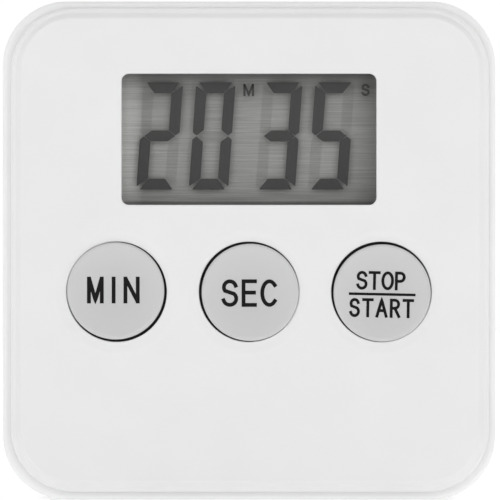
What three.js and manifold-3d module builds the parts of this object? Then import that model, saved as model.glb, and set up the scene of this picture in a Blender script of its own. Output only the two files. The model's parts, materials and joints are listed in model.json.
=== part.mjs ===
// A small digital count-down timer for the lab bench. White case in two nested
// shells, reflective display, three round keys on rubber domes, a sounder, one
// AAA cell behind a tilting door, two magnets and a fold-out stand at the back.
//
// Millimetres. +Z is up and the display faces -Y. The origin is under the middle
// of the case, on the surface that it stands on.

import * as THREE from 'three';
import { mergeVertices } from 'three/addons/utils/BufferGeometryUtils.js';
import Module from 'manifold-3d';

// ------------------------------------------------------------ driving dimensions

const CASE = { width: 65.0, height: 65.8, corner: 8.5, front: -8.0, back: 8.0, wall: 1.6 };
const REAR_EDGE_ROUND = 1.4;

// The front shell drops into the rim of the rear shell and rests on a ledge.
const SEAM = { rim: 1.0, gap: 0.15, rimFront: -5.6, ledge: -3.2, rearWall: 1.8 };

// The flat face stands a step above a rounded shoulder.
const FACE = { inset: 2.8, step: 0.6, round: 0.4, shoulderRound: 0.8 };

const WINDOW = { width: 33.4, height: 17.2, corner: 0.95, z: 47.5, sill: 0.9 };
const LENS = { margin: 0.8, thickness: 0.7, corner: 1.4 };

const KEY = {
  pitch: 17.35, z: 27.5, holeRadius: 6.65, radius: 6.375, proud: 0.3, travel: 0.9,
  flangeRadius: 7.7, flangeThickness: 0.95, dishRadius: 26, rimRound: 0.35,
};
const HOLE_DISH = { radius: 8.1, depth: 0.25 };      // soft sink in the face around each key
const KEY_NAMES = ['min', 'sec', 'start_stop'];      // from left to right

const BOARD = { front: -1.8, thickness: 1.2 };
const GLASS = { halfWidth: 18.0, top: 58.4, ledgeBottom: 36.6, cellBottom: 38.5, thickness: 0.7 };
const FILM = 0.2;                                     // polariser and reflector
const CLEARANCE = 0.05;                               // between pieces that touch

const CELL = { radius: 5.25, length: 44.5, nubRadius: 1.9, nubLength: 0.8, round: 0.5, y: 0.9, z: 11.5 };
const BAY = { halfLength: 26.0, halfHeight: 5.6, floor: -4.5, wall: 1.0 };
const DOOR = {
  halfWidth: 27.1, bottom: 3.95, top: 19.7, thickness: 1.4, gap: 0.3, pivotY: 7.25, pivotZ: 4.7,
  edgeRadius: 0.75, pinRadius: 0.4, pinLength: 1.0, corner: 1.6,
};

const STAND = {
  halfWidth: 17.3, length: 31.3, thickness: 2.2, pivotY: 6.8, pivotZ: 25.9, corner: 4.0,
  gap: 0.3, pinRadius: 0.75, pinLength: 1.1, floor: 5.6, floorThickness: 1.4,
};

const MAGNET = { radius: 5.0, thickness: 1.4, proud: 0.3, x: 25.2, z: 44.0 };
const PIEZO = { z: 42.5, discRadius: 10.0, ceramicRadius: 7.0, sheet: 0.25, discFront: 3.0 };

const CASE_SCREWS = [[-27.3, 23.8], [27.3, 23.8], [-26.6, 59.9], [26.6, 59.9]];   // x, z
const BOARD_SCREWS = [[-23.3, 37.8], [23.3, 37.8], [-23.3, 53.5], [23.3, 53.5]];  // x, z

// ------------------------------------------------------------ derived positions

const FRONT_INSIDE = CASE.front + CASE.wall;
const BACK_INSIDE = CASE.back - CASE.wall;
const BOARD_BACK = BOARD.front + BOARD.thickness;
const SHELL_INSET = SEAM.rim + SEAM.gap;
const MIDDLE_Z = CASE.height / 2;
const BEYOND = 1.0;                                   // how far a cutter runs past a surface
const OVERLAP = 0.2;                                  // how far joined solids run into each other

// ------------------------------------------------------------ solids

const wasm = await Module();
wasm.setup();

// A closed three.js geometry as a solid, without its seams and zero-width triangles.
function solid(geometry) {
  const bare = geometry.index ? geometry.toNonIndexed() : geometry.clone();
  bare.deleteAttribute('normal');
  bare.deleteAttribute('uv');
  const merged = mergeVertices(bare, 1e-4);
  const corners = [];
  for (let i = 0; i < merged.index.count; i += 3) {
    const [a, b, c] = [0, 1, 2].map((k) => merged.index.getX(i + k));
    if (a !== b && b !== c && c !== a) corners.push(a, b, c);
  }
  const vertProperties = Float32Array.from(merged.attributes.position.array);
  const triVerts = Uint32Array.from(corners);
  return new wasm.Manifold(new wasm.Mesh({ numProp: 3, vertProperties, triVerts }));
}

function geometryOf(body) {
  const mesh = body.getMesh();
  const geometry = new THREE.BufferGeometry();
  geometry.setAttribute('position', new THREE.BufferAttribute(mesh.vertProperties, 3));
  geometry.setIndex(new THREE.BufferAttribute(mesh.triVerts, 1));
  const faceted = geometry.toNonIndexed();
  faceted.computeVertexNormals();
  return faceted;
}

const join = (first, ...others) => others.reduce((sum, next) => sum.add(next), first);
const cut = (first, ...others) => others.reduce((rest, next) => rest.subtract(next), first);

// ------------------------------------------------------------ shapes

function box([x0, x1], [y0, y1], [z0, z1]) {
  const geometry = new THREE.BoxGeometry(x1 - x0, y1 - y0, z1 - z0);
  return solid(geometry.translate((x0 + x1) / 2, (y0 + y1) / 2, (z0 + z1) / 2));
}

// A rounded rectangle in the X-Z plane.
function roundedRect(width, height, corner, centreZ = 0) {
  const [right, top, bottom] = [width / 2, centreZ + height / 2, centreZ - height / 2];
  const shape = new THREE.Shape();
  shape.absarc(right - corner, bottom + corner, corner, -Math.PI / 2, 0);
  shape.absarc(right - corner, top - corner, corner, 0, Math.PI / 2);
  shape.absarc(corner - right, top - corner, corner, Math.PI / 2, Math.PI);
  shape.absarc(corner - right, bottom + corner, corner, Math.PI, Math.PI * 1.5);
  return shape;
}

// The case's outline, drawn in from its outer edge by an inset.
function outline(inset) {
  const [width, height] = [CASE.width - 2 * inset, CASE.height - 2 * inset];
  return roundedRect(width, height, CASE.corner - inset, MIDDLE_Z);
}

// An X-Z shape run along Y, with both its ends rounded by `round`.
function prism(shape, [y0, y1], round = 0) {
  const geometry = new THREE.ExtrudeGeometry(shape, {
    depth: y1 - y0 - 2 * round,
    curveSegments: 4,
    bevelEnabled: round > 0,
    bevelThickness: round,
    bevelSize: round,
    bevelOffset: -round,
    bevelSegments: 2,
  });
  return solid(geometry.rotateX(Math.PI / 2).translate(0, y1 - round, 0));
}

function cylinderY(radius, [y0, y1], [x, z] = [0, 0], segments = 16) {
  const geometry = new THREE.CylinderGeometry(radius, radius, y1 - y0, segments);
  return solid(geometry.translate(x, (y0 + y1) / 2, z));
}

function cylinderX(radius, [x0, x1], [y, z] = [0, 0], segments = 16) {
  const geometry = new THREE.CylinderGeometry(radius, radius, x1 - x0, segments);
  return solid(geometry.rotateZ(Math.PI / 2).translate((x0 + x1) / 2, y, z));
}

// A profile of [radius, y] points turned about the Y axis. Its outer side runs towards rising y.
function turned(profile, segments = 32, [x, z] = [0, 0]) {
  const points = profile.map(([radius, y]) => new THREE.Vector2(radius, y));
  return solid(new THREE.LatheGeometry(points, segments).translate(x, 0, z));
}

// A round wire through points.
function wire(points, radius, steps = 10, curveSegments = 4) {
  const section = new THREE.Shape().absarc(0, 0, radius, 0, Math.PI * 2);
  const extrudePath = new THREE.CatmullRomCurve3(points.map((p) => new THREE.Vector3(...p)));
  const options = { steps, extrudePath, curveSegments, bevelEnabled: false };
  return solid(new THREE.ExtrudeGeometry(section, options));
}

// ------------------------------------------------------------ finishes

const whitePlastic = { color: 0xe9e9e7, roughness: 0.45, metalness: 0 };
const greyPlastic = { color: 0xbcbcbd, roughness: 0.5, metalness: 0 };
const darkPlastic = { color: 0x3a3b3d, roughness: 0.6, metalness: 0 };
const clearPlastic = { color: 0xdfe3e4, roughness: 0.08, metalness: 0 };
const displayGlass = { color: 0x9fa39d, roughness: 0.15, metalness: 0 };
const silverFilm = { color: 0xb4b7b2, roughness: 0.3, metalness: 0.6 };
const rubber = { color: 0xd7d8d4, roughness: 0.8, metalness: 0 };
const carbonRubber = { color: 0x1c1c1d, roughness: 0.8, metalness: 0 };
const boardGreen = { color: 0x1f6b43, roughness: 0.5, metalness: 0 };
const epoxyBlack = { color: 0x111112, roughness: 0.35, metalness: 0 };
const ceramicTan = { color: 0xb79f7d, roughness: 0.6, metalness: 0 };
const brass = { color: 0xc9a24d, roughness: 0.35, metalness: 1 };
const nickel = { color: 0xc4c5c6, roughness: 0.3, metalness: 1 };
const ceramicWhite = { color: 0xdedbd2, roughness: 0.6, metalness: 0 };
const wireRed = { color: 0xb3261e, roughness: 0.5, metalness: 0 };
const wireBlack = { color: 0x171717, roughness: 0.5, metalness: 0 };
const cellJacket = { color: 0x3e4a57, roughness: 0.35, metalness: 0.3 };
const screwSteel = { color: 0x8f9193, roughness: 0.35, metalness: 1 };

// ------------------------------------------------------------ case

const KEY_X = KEY_NAMES.map((_, i) => (i - 1) * KEY.pitch);
const KEY_PIN = { inner: 6.9, outer: 7.9, halfWidth: 0.5, depth: 1.3, slack: 0.2 };
const LENS_POCKET_SLACK = 0.2;
const BOARD_BOSS = { radius: 2.2, bore: 1.0, boreEnd: -5.9 };
const CASE_BOSS = { radius: 2.5, bore: 1.25, boreEnd: -4.5, back: 1.0 };
const LENS_SIZE = { width: WINDOW.width + 2 * LENS.margin, height: WINDOW.height + 2 * LENS.margin };

function frontShell() {
  const skirtEnd = SEAM.ledge - 0.1;
  const shoulder = CASE.front + FACE.step;
  const body = join(
    prism(outline(SHELL_INSET), [shoulder, 0], FACE.shoulderRound),
    prism(outline(FACE.inset - FACE.round), [CASE.front, FRONT_INSIDE], FACE.round),
  );
  const behind = box([-CASE.width, CASE.width], [skirtEnd, BEYOND], [-BEYOND, CASE.height]);
  const inside = prism(outline(FACE.inset), [FRONT_INSIDE, BEYOND]);

  const windowHole = roundedRect(WINDOW.width, WINDOW.height, WINDOW.corner, WINDOW.z);
  const pocket = 2 * (LENS.margin + LENS_POCKET_SLACK);
  const lensPocket = roundedRect(WINDOW.width + pocket, WINDOW.height + pocket, LENS.corner, WINDOW.z);
  let shell = cut(
    body,
    behind,
    inside,
    prism(windowHole, [CASE.front - BEYOND, 0]),
    prism(lensPocket, [CASE.front + WINDOW.sill, 0]),
  );

  for (const x of KEY_X) {
    const sink = [[0, CASE.front - BEYOND], [HOLE_DISH.radius, CASE.front - BEYOND],
      [HOLE_DISH.radius, CASE.front], [KEY.holeRadius, CASE.front + HOLE_DISH.depth],
      [0, CASE.front + HOLE_DISH.depth]];
    const hole = cylinderY(KEY.holeRadius, [CASE.front - BEYOND, 0], [x, KEY.z], 32);
    shell = cut(shell, turned(sink, 32, [x, KEY.z]), hole);
    const pinZ = [KEY.z + KEY_PIN.inner, KEY.z + KEY_PIN.outer];
    const pinX = [x - KEY_PIN.halfWidth, x + KEY_PIN.halfWidth];
    shell = join(shell, box(pinX, [FRONT_INSIDE - OVERLAP, FRONT_INSIDE + KEY_PIN.depth], pinZ));
  }

  const bossFront = FRONT_INSIDE - OVERLAP;
  for (const at of BOARD_SCREWS) {
    const back = BOARD.front - CLEARANCE;
    shell = join(shell, cylinderY(BOARD_BOSS.radius, [bossFront, back], at));
    shell = cut(shell, cylinderY(BOARD_BOSS.bore, [BOARD_BOSS.boreEnd, BEYOND], at, 12));
  }
  for (const at of CASE_SCREWS) {
    shell = join(shell, cylinderY(CASE_BOSS.radius, [bossFront, CASE_BOSS.back], at));
    shell = cut(shell, cylinderY(CASE_BOSS.bore, [CASE_BOSS.boreEnd, 2 * BEYOND], at, 12));
  }
  return shell;
}

const REAR_BOSS = { radius: 3.5, front: 1.1, seat: 3.9, counterbore: 2.2, hole: 1.35 };
const STAND_RECESS = {
  halfWidth: STAND.halfWidth + STAND.gap, bottom: STAND.pivotZ - 2.7,
  top: STAND.pivotZ + STAND.length + STAND.gap, corner: 2.0,
};
const STAND_PIN_SLACK = 0.15;
const FINGER_NOTCH = { halfWidth: 5.0, height: 2.2, floor: 6.5 };
const SEAT = { halfWidth: 29.4, bottom: 2.0, top: 21.3, front: 4.9 };
const THUMB_NOTCH = { radius: 5.0, z: 17.3, floor: 6.8 };
const DOOR_PIN_SLACK = 0.1;
const SOUND_HOLE = { radius: 0.6, ring: 3.2, count: 6 };
const BOARD_POST = { x: 12.0, z: 30.5, radius: 1.5 };
const CONTACT_SLOT = { x: [25.0, 25.95], y: [-1.7, 2.1], beyondWall: 0.5 };
const MAGNET_BOSS = { wall: 1.2, height: 1.0, slack: 0.15, floorSlack: 0.1 };
const SOUNDER_SEAT = { wall: 1.2, slack: 0.2, ledge: 1.0, rise: 0.4 };

function standRecess(shell) {
  const { halfWidth, bottom, top } = STAND_RECESS;
  const wall = CASE.wall;
  const front = STAND.floor - STAND.floorThickness;
  const block = box([-halfWidth - wall, halfWidth + wall], [front, BACK_INSIDE + OVERLAP],
    [bottom - wall, top + FINGER_NOTCH.height + wall]);
  const recess = prism(roundedRect(2 * halfWidth, top - bottom, STAND_RECESS.corner, (top + bottom) / 2),
    [STAND.floor, CASE.back + BEYOND]);
  const notch = box([-FINGER_NOTCH.halfWidth, FINGER_NOTCH.halfWidth],
    [FINGER_NOTCH.floor, CASE.back + BEYOND], [top - BEYOND, top + FINGER_NOTCH.height]);
  const reach = STAND.halfWidth + STAND.pinLength + STAND_PIN_SLACK;
  const sockets = cylinderX(STAND.pinRadius + STAND_PIN_SLACK, [-reach, reach],
    [STAND.pivotY, STAND.pivotZ]);
  return cut(join(shell, block), recess, notch, sockets);
}

function batteryBay(shell) {
  const { halfLength, halfHeight, floor, wall } = BAY;
  const seatBlock = box([-SEAT.halfWidth, SEAT.halfWidth], [SEAT.front, BACK_INSIDE + OVERLAP],
    [SEAT.bottom, SEAT.top]);
  const trough = box([-halfLength - wall, halfLength + wall], [floor - wall, BACK_INSIDE],
    [CELL.z - halfHeight - wall, CELL.z + halfHeight + wall]);
  const hollow = box([-halfLength, halfLength], [floor, CASE.back + BEYOND],
    [CELL.z - halfHeight, CELL.z + halfHeight]);

  // The seat's lower corners are square, so that the ends of the door can swing down into them.
  const seatHalf = DOOR.halfWidth + DOOR.gap;
  const seatRun = [BACK_INSIDE, CASE.back + BEYOND];
  const seatHeight = DOOR.top - DOOR.bottom + 2 * DOOR.gap;
  const doorSeat = join(
    prism(roundedRect(2 * seatHalf, seatHeight, DOOR.corner, (DOOR.top + DOOR.bottom) / 2), seatRun),
    box([-seatHalf, seatHalf], seatRun, [DOOR.bottom - DOOR.gap, DOOR.bottom + 2 * DOOR.corner]),
  );
  const thumbNotch = cylinderY(THUMB_NOTCH.radius, [THUMB_NOTCH.floor, CASE.back + BEYOND],
    [0, THUMB_NOTCH.z], 24);
  const reach = DOOR.halfWidth + DOOR.pinLength + DOOR_PIN_SLACK;
  const sockets = cylinderX(DOOR.pinRadius + DOOR_PIN_SLACK, [-reach, reach],
    [DOOR.pivotY, DOOR.pivotZ], 12);
  const slotZ = [CELL.z + halfHeight - CONTACT_SLOT.beyondWall,
    CELL.z + halfHeight + wall + CONTACT_SLOT.beyondWall];
  const slots = [-1, 1].map((side) => box(CONTACT_SLOT.x.map((x) => side * x).sort((a, b) => a - b),
    CONTACT_SLOT.y, slotZ));
  return cut(join(shell, seatBlock, trough), hollow, doorSeat, thumbNotch, sockets, ...slots);
}

function rearShell() {
  const outer = prism(outline(0), [CASE.front - BEYOND, CASE.back], REAR_EDGE_ROUND);
  const ahead = box([-CASE.width, CASE.width], [CASE.front - 2 * BEYOND, SEAM.rimFront],
    [-BEYOND, CASE.height + BEYOND]);
  let shell = cut(
    outer,
    ahead,
    prism(outline(SEAM.rim), [CASE.front, SEAM.ledge]),
    prism(outline(SEAM.rearWall), [SEAM.ledge - BEYOND, BACK_INSIDE]),
  );

  for (const at of CASE_SCREWS) {
    shell = join(shell, cylinderY(REAR_BOSS.radius, [REAR_BOSS.front, BACK_INSIDE + OVERLAP], at, 20));
  }
  const magnetBossRun = [BACK_INSIDE - MAGNET_BOSS.height, BACK_INSIDE + OVERLAP];
  for (const x of [-MAGNET.x, MAGNET.x]) {
    shell = join(shell, cylinderY(MAGNET.radius + MAGNET_BOSS.wall, magnetBossRun, [x, MAGNET.z], 24));
  }
  shell = standRecess(shell);
  shell = batteryBay(shell);

  for (const at of CASE_SCREWS) {
    shell = cut(
      shell,
      cylinderY(REAR_BOSS.counterbore, [REAR_BOSS.seat, CASE.back + BEYOND], at, 20),
      cylinderY(REAR_BOSS.hole, [0, CASE.back], at, 12),
    );
  }
  const pocketFloor = CASE.back + MAGNET.proud - MAGNET.thickness - MAGNET_BOSS.floorSlack;
  for (const x of [-MAGNET.x, MAGNET.x]) {
    const pocket = [pocketFloor, CASE.back + BEYOND];
    shell = cut(shell, cylinderY(MAGNET.radius + MAGNET_BOSS.slack, pocket, [x, MAGNET.z], 32));
  }

  // The sounder's seat: a ring with a shallow chamber behind the disc, and holes out of it.
  const floorFront = STAND.floor - STAND.floorThickness;
  const discBack = PIEZO.discFront + PIEZO.sheet + CLEARANCE;
  const at = [0, PIEZO.z];
  const ring = cut(
    cylinderY(PIEZO.discRadius + SOUNDER_SEAT.wall,
      [PIEZO.discFront - SOUNDER_SEAT.rise, floorFront + OVERLAP], at, 32),
    cylinderY(PIEZO.discRadius + SOUNDER_SEAT.slack, [0, discBack], at, 32),
    cylinderY(PIEZO.discRadius - SOUNDER_SEAT.ledge, [0, floorFront], at, 32),
  );
  shell = join(shell, ring);
  const soundHoles = [[0, PIEZO.z]];
  for (let i = 0; i < SOUND_HOLE.count; i += 1) {
    const angle = (i * 2 * Math.PI) / SOUND_HOLE.count;
    soundHoles.push([SOUND_HOLE.ring * Math.cos(angle), PIEZO.z + SOUND_HOLE.ring * Math.sin(angle)]);
  }
  for (const place of soundHoles) {
    const through = [floorFront - BEYOND, STAND.floor + BEYOND];
    shell = cut(shell, cylinderY(SOUND_HOLE.radius, through, place, 12));
  }
  for (const x of [-BOARD_POST.x, BOARD_POST.x]) {
    const run = [BOARD_BACK + 2 * CLEARANCE, floorFront + OVERLAP];
    shell = join(shell, cylinderY(BOARD_POST.radius, run, [x, BOARD_POST.z], 12));
  }
  return shell;
}

// ------------------------------------------------------------ display

const LENS_FRONT = CASE.front + WINDOW.sill + CLEARANCE;
const POLARISER_FRONT = FRONT_INSIDE + 0.25;
const FRONT_GLASS = POLARISER_FRONT + FILM + CLEARANCE;
const REAR_GLASS = FRONT_GLASS + GLASS.thickness + CLEARANCE;
const REFLECTOR_FRONT = REAR_GLASS + GLASS.thickness + CLEARANCE;
const LAYER_MARGIN = 0.4;                             // of the films inside the glass's edge
const FRAME = {
  wall: 1.2, lowerWall: 0.9, slack: 0.1, front: FRONT_INSIDE + 0.1,
  opening: { x: [-14, 14], z: [41.5, 55.5] },
};
const ZEBRA = { halfLength: 17.2, z: [36.75, 38.25] };

function lens() {
  const corner = LENS.corner - LENS_POCKET_SLACK;
  const shape = roundedRect(LENS_SIZE.width, LENS_SIZE.height, corner, WINDOW.z);
  return prism(shape, [LENS_FRONT, LENS_FRONT + LENS.thickness]);
}

// One layer of the display cell, as wide as the glass less a margin.
function layer(front, thickness, bottom, margin = 0) {
  const x = GLASS.halfWidth - margin;
  return box([-x, x], [front, front + thickness], [bottom, GLASS.top - margin]);
}

function lcdFrame() {
  const x = GLASS.halfWidth + FRAME.slack;
  const back = BOARD.front - CLEARANCE;
  const top = GLASS.top + FRAME.slack;
  const bottom = GLASS.ledgeBottom - FRAME.slack;
  const shelf = REFLECTOR_FRONT + FILM + CLEARANCE;
  return cut(
    box([-x - FRAME.wall, x + FRAME.wall], [FRAME.front, back], [bottom - FRAME.lowerWall, top + FRAME.wall]),
    box([-x, x], [FRAME.front - BEYOND, shelf], [bottom, top]),
    box(FRAME.opening.x, [shelf - BEYOND, 0], FRAME.opening.z),
    box([-ZEBRA.halfLength - FRAME.slack, ZEBRA.halfLength + FRAME.slack], [shelf - BEYOND, 0],
      [ZEBRA.z[0] - FRAME.slack, ZEBRA.z[1] + FRAME.slack]),
  );
}

function zebraStrip() {
  const ends = [-ZEBRA.halfLength, ZEBRA.halfLength];
  return box(ends, [REAR_GLASS, BOARD.front - CLEARANCE], ZEBRA.z);
}

// ------------------------------------------------------------ keys

const DOME = { outer: 4.7, inner: 3.9, head: 2.3, web: 0.4, front: -4.6, baseFront: -2.9 };
const PILL = { radius: 1.9, thickness: 0.35 };
const PILL_BACK = BOARD.front - CLEARANCE - KEY.travel;
const MAT = { halfWidth: 23.6, z: [20.2, 34.8], holeSlack: 0.1 };
const KEY_BACK = { skirt: 4.9, plunger: 1.6, roof: 1.3 };    // radii, and the thickness of the roof
const KEYWAY_DEPTH = KEY_PIN.inner - 0.15;                   // how near the keyway comes to the middle

// A cap with a hollow back, a retaining flange and a plunger, about its own middle.
function keyCap() {
  const front = CASE.front - KEY.proud;
  const flangeFront = FRONT_INSIDE + CLEARANCE;
  const flangeBack = flangeFront + KEY.flangeThickness;
  const plungerBack = DOME.front - CLEARANCE;
  const rimInside = KEY.radius - KEY.rimRound;
  const rise = (radius) => KEY.dishRadius - Math.sqrt(KEY.dishRadius ** 2 - radius ** 2);
  const dishFloor = front + rise(rimInside);
  const dish = [0, 1, 2, 3].map((i) => {
    const radius = (rimInside * i) / 3;
    return [radius, dishFloor - rise(radius)];
  });
  const cap = turned([
    ...dish,
    [KEY.radius - 0.1, front + 0.1],
    [KEY.radius, front + KEY.rimRound],
    [KEY.radius, flangeFront],
    [KEY.flangeRadius, flangeFront],
    [KEY.flangeRadius, flangeBack],
    [KEY_BACK.skirt, flangeBack],
    [KEY_BACK.skirt, dishFloor + KEY_BACK.roof],
    [KEY_BACK.plunger, dishFloor + KEY_BACK.roof],
    [KEY_BACK.plunger, plungerBack],
    [0, plungerBack],
  ], 32);
  const keyway = KEY_PIN.halfWidth + KEY_PIN.slack;
  return cut(cap, box([-keyway, keyway], [flangeFront - CLEARANCE / 5, flangeBack + BEYOND],
    [KEYWAY_DEPTH, KEY.flangeRadius + BEYOND]));
}

// A cone of thin rubber between a base ring and a solid head.
function dome() {
  const back = BOARD.front - CLEARANCE;
  const headBack = PILL_BACK - PILL.thickness - CLEARANCE;
  return turned([
    [0, DOME.front],
    [DOME.head, DOME.front],
    [DOME.head, headBack - DOME.web],
    [DOME.outer, DOME.baseFront],
    [DOME.outer, back],
    [DOME.inner, back],
    [DOME.inner, DOME.baseFront + DOME.web],
    [DOME.head - 0.1, headBack],
    [0, headBack],
  ], 20);
}

function keypadMat() {
  const run = [DOME.baseFront, BOARD.front - CLEARANCE];
  const through = [DOME.baseFront - BEYOND, BEYOND];
  const holes = KEY_X.map((x) => cylinderY(DOME.outer + MAT.holeSlack, through, [x, KEY.z], 24));
  return cut(box([-MAT.halfWidth, MAT.halfWidth], run, MAT.z), ...holes);
}

// ------------------------------------------------------------ circuit board

const BOARD_HOLE = 1.15;
const BOARD_EDGE = [
  [24.0, 19.6], [24.0, 27.4], [25.8, 27.4], [25.8, 56.6], [22.8, 56.6], [22.8, 59.6],
];                                                     // right-hand side, upwards: x, z

function circuitBoard() {
  const right = BOARD_EDGE.map(([x, z]) => new THREE.Vector2(x, z));
  const left = BOARD_EDGE.map(([x, z]) => new THREE.Vector2(-x, z)).reverse();
  const plate = prism(new THREE.Shape([...right, ...left]), [BOARD.front, BOARD_BACK]);
  const through = [BOARD.front - BEYOND, BOARD_BACK + BEYOND];
  return cut(plate, ...BOARD_SCREWS.map((at) => cylinderY(BOARD_HOLE, through, at, 12)));
}

const ON_BOARD = BOARD_BACK + CLEARANCE;
const BLOB = { radius: 4.5, height: 1.3, at: [-2, 26] };
const CRYSTAL = { radius: 1.0, halfLength: 3.0, at: [11, 24.5] };
const CHIP = { length: 2.0, width: 1.25 };
const CAPACITOR = { height: 1.2, places: [[-14, 24.5], [-14, 37], [4.5, 22.6]] };     // x, z
const RESISTOR = { height: 0.5, places: [[-9.5, 22.4], [13, 36.5]] };                 // x, z

function chipBlob() {
  const profile = [[0, 0], [BLOB.radius, 0]];
  for (let i = 1; i <= 4; i += 1) {
    const angle = (i * Math.PI) / 8;
    profile.push([i === 4 ? 0 : BLOB.radius * Math.cos(angle), BLOB.height * Math.sin(angle)]);
  }
  return turned(profile, 24);
}

function chipPart(height) {
  return box([-CHIP.length / 2, CHIP.length / 2], [0, height], [-CHIP.width / 2, CHIP.width / 2]);
}

// ------------------------------------------------------------ screws

const CASE_SCREW = { headRadius: 2.0, headHeight: 1.4, shankRadius: 1.1, length: 7.4 };
const BOARD_SCREW = { headRadius: 1.8, headHeight: 1.1, shankRadius: 0.9, length: 4.6 };

// A pan-head screw pointing along -Y, with the underside of its head at y = 0.
function screw({ headRadius, headHeight, shankRadius, length }) {
  const body = turned([
    [0, -length],
    [shankRadius * 0.5, -length],
    [shankRadius, -length + shankRadius],
    [shankRadius, 0],
    [headRadius, 0],
    [headRadius, headHeight * 0.6],
    [headRadius * 0.8, headHeight],
    [0, headHeight],
  ], 12);
  const arm = headRadius * 0.62;
  const half = headRadius * 0.13;
  const deep = [headHeight * 0.45, headHeight + BEYOND];
  return cut(body, box([-arm, arm], deep, [-half, half]), box([-half, half], deep, [-arm, arm]));
}

// ------------------------------------------------------------ sounder

const PIEZO_WIRES = {
  piezo_wire_red: [wireRed, [[3, 2.45, 39.6], [3.5, 1.5, 39.0], [5.8, 0.8, 36.8], [6.6, -0.3, 35.6]]],
  piezo_wire_black: [wireBlack,
    [[-6.4, 2.7, 36.7], [-6.6, 1.6, 36.2], [-7.6, 0.7, 34.9], [-8.0, -0.3, 34.2]]],
};
const BATTERY_WIRE = [[25.2, 1.1, 19.2], [23.6, 1.3, 19.6], [21.4, 0.9, 21.2], [20.6, -0.2, 22.4]];
const WIRE_RADIUS = 0.35;

// ------------------------------------------------------------ power

const NUB_TIP = BAY.halfLength - 0.7;
const CONTACT = { thickness: 0.4, halfWidth: 4.2, x: BAY.halfLength - 0.6, tabTop: 19.6, tabY: [0.2, 1.8] };

// The cell along Y, with the tip of its positive nub at y = 0.
function batteryCell() {
  const { radius, length, nubRadius, nubLength, round } = CELL;
  return turned([
    [0, -length], [radius - round, -length], [radius, -length + round], [radius, -nubLength - round],
    [radius - round, -nubLength], [nubRadius, -nubLength], [nubRadius, -0.2], [nubRadius - 0.2, 0], [0, 0],
  ], 32);
}

// A square plate against the end wall of the bay, with a tab up through its slot.
function contactPlate(side) {
  const x = [side * CONTACT.x, side * (CONTACT.x + CONTACT.thickness)].sort((a, b) => a - b);
  const { halfWidth } = CONTACT;
  return join(
    box(x, [CELL.y - halfWidth, CELL.y + halfWidth], [CELL.z - halfWidth, CELL.z + halfWidth]),
    box(x, CONTACT.tabY, [CELL.z, CONTACT.tabTop]),
  );
}

const SPRING = { plateRadius: 3.6, cellRadius: 2.3, wire: 0.35, turns: 4, stepsPerTurn: 12 };

function batterySpring() {
  const start = -CONTACT.x + SPRING.wire + CLEARANCE;
  const end = NUB_TIP - CELL.length - SPRING.wire - CLEARANCE;
  const steps = SPRING.turns * SPRING.stepsPerTurn;
  const points = [];
  for (let i = 0; i <= steps; i += 1) {
    const share = i / steps;
    const angle = share * SPRING.turns * 2 * Math.PI;
    const radius = SPRING.plateRadius + (SPRING.cellRadius - SPRING.plateRadius) * share;
    points.push([start + (end - start) * share, CELL.y + radius * Math.cos(angle),
      CELL.z + radius * Math.sin(angle)]);
  }
  return wire(points, SPRING.wire, steps, 3);
}

// Two stiffening ribs inside, each placed by its height over the pivot.
const DOOR_RIB = { halfLength: 19.0, front: -2.65, thickness: 0.8, places: [1.8, 10.9] };
const DOOR_NIB = { halfWidth: 4.0, thickness: 0.5, reach: 0.22 };

// The door about its own pivot line: a plate upwards from a rounded lower edge.
function batteryDoor() {
  const height = DOOR.top - DOOR.bottom;
  const outside = CASE.back - DOOR.pivotY;
  const inside = outside - DOOR.thickness;
  const middle = (DOOR.top + DOOR.bottom) / 2 - DOOR.pivotZ;
  const plate = cut(
    prism(roundedRect(2 * DOOR.halfWidth, height, DOOR.corner, middle), [inside, outside]),
    box([-CASE.width, CASE.width], [-BEYOND, BEYOND], [-2 * BEYOND, 0]),
  );
  const reach = DOOR.halfWidth + DOOR.pinLength;
  const ribs = DOOR_RIB.places.map((z) => box([-DOOR_RIB.halfLength, DOOR_RIB.halfLength],
    [DOOR_RIB.front, inside + OVERLAP], [z, z + DOOR_RIB.thickness]));
  const nib = box([-DOOR_NIB.halfWidth, DOOR_NIB.halfWidth], [inside, inside + DOOR_NIB.thickness],
    [middle, middle + height / 2 + DOOR_NIB.reach]);
  return join(
    plate,
    cylinderX(DOOR.edgeRadius, [-DOOR.halfWidth + DOOR.edgeRadius, DOOR.halfWidth - DOOR.edgeRadius]),
    cylinderX(DOOR.pinRadius, [-reach, reach], [0, 0], 12),
    ...ribs,
    nib,
  );
}

// ------------------------------------------------------------ stand

const STAND_RIM = { sides: 2.0, bottom: 3.0, top: 4.0, rib: 1.0 };

// The stand about its pivot line: a ribbed flap upwards from a rounded edge with two pins.
function standFlap() {
  const half = STAND.thickness / 2;
  const { halfWidth, length, corner } = STAND;
  const flap = cut(
    prism(roundedRect(2 * halfWidth, 2 * length, corner), [-half, half]),
    box([-CASE.width, CASE.width], [-half - BEYOND, half + BEYOND], [-length - BEYOND, 0]),
  );
  const panel = (2 * halfWidth - 2 * STAND_RIM.sides - 2 * STAND_RIM.rib) / 3;
  const pockets = [0, 1, 2].map((i) => {
    const x = -halfWidth + STAND_RIM.sides + i * (panel + STAND_RIM.rib);
    return box([x, x + panel], [-half - BEYOND, 0], [STAND_RIM.bottom, length - STAND_RIM.top]);
  });
  const reach = halfWidth + STAND.pinLength;
  return join(
    cut(flap, ...pockets),
    cylinderX(half, [-halfWidth, halfWidth]),
    cylinderX(STAND.pinRadius, [-reach, reach]),
  );
}

// ------------------------------------------------------------ assembly

const timer = new THREE.Group();

function add(parent, name, finish, body, [x, y, z] = [0, 0, 0]) {
  const mesh = new THREE.Mesh(geometryOf(body), new THREE.MeshStandardMaterial(finish));
  mesh.name = name;
  mesh.position.set(x, y, z);
  parent.add(mesh);
  return mesh;
}

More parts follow.
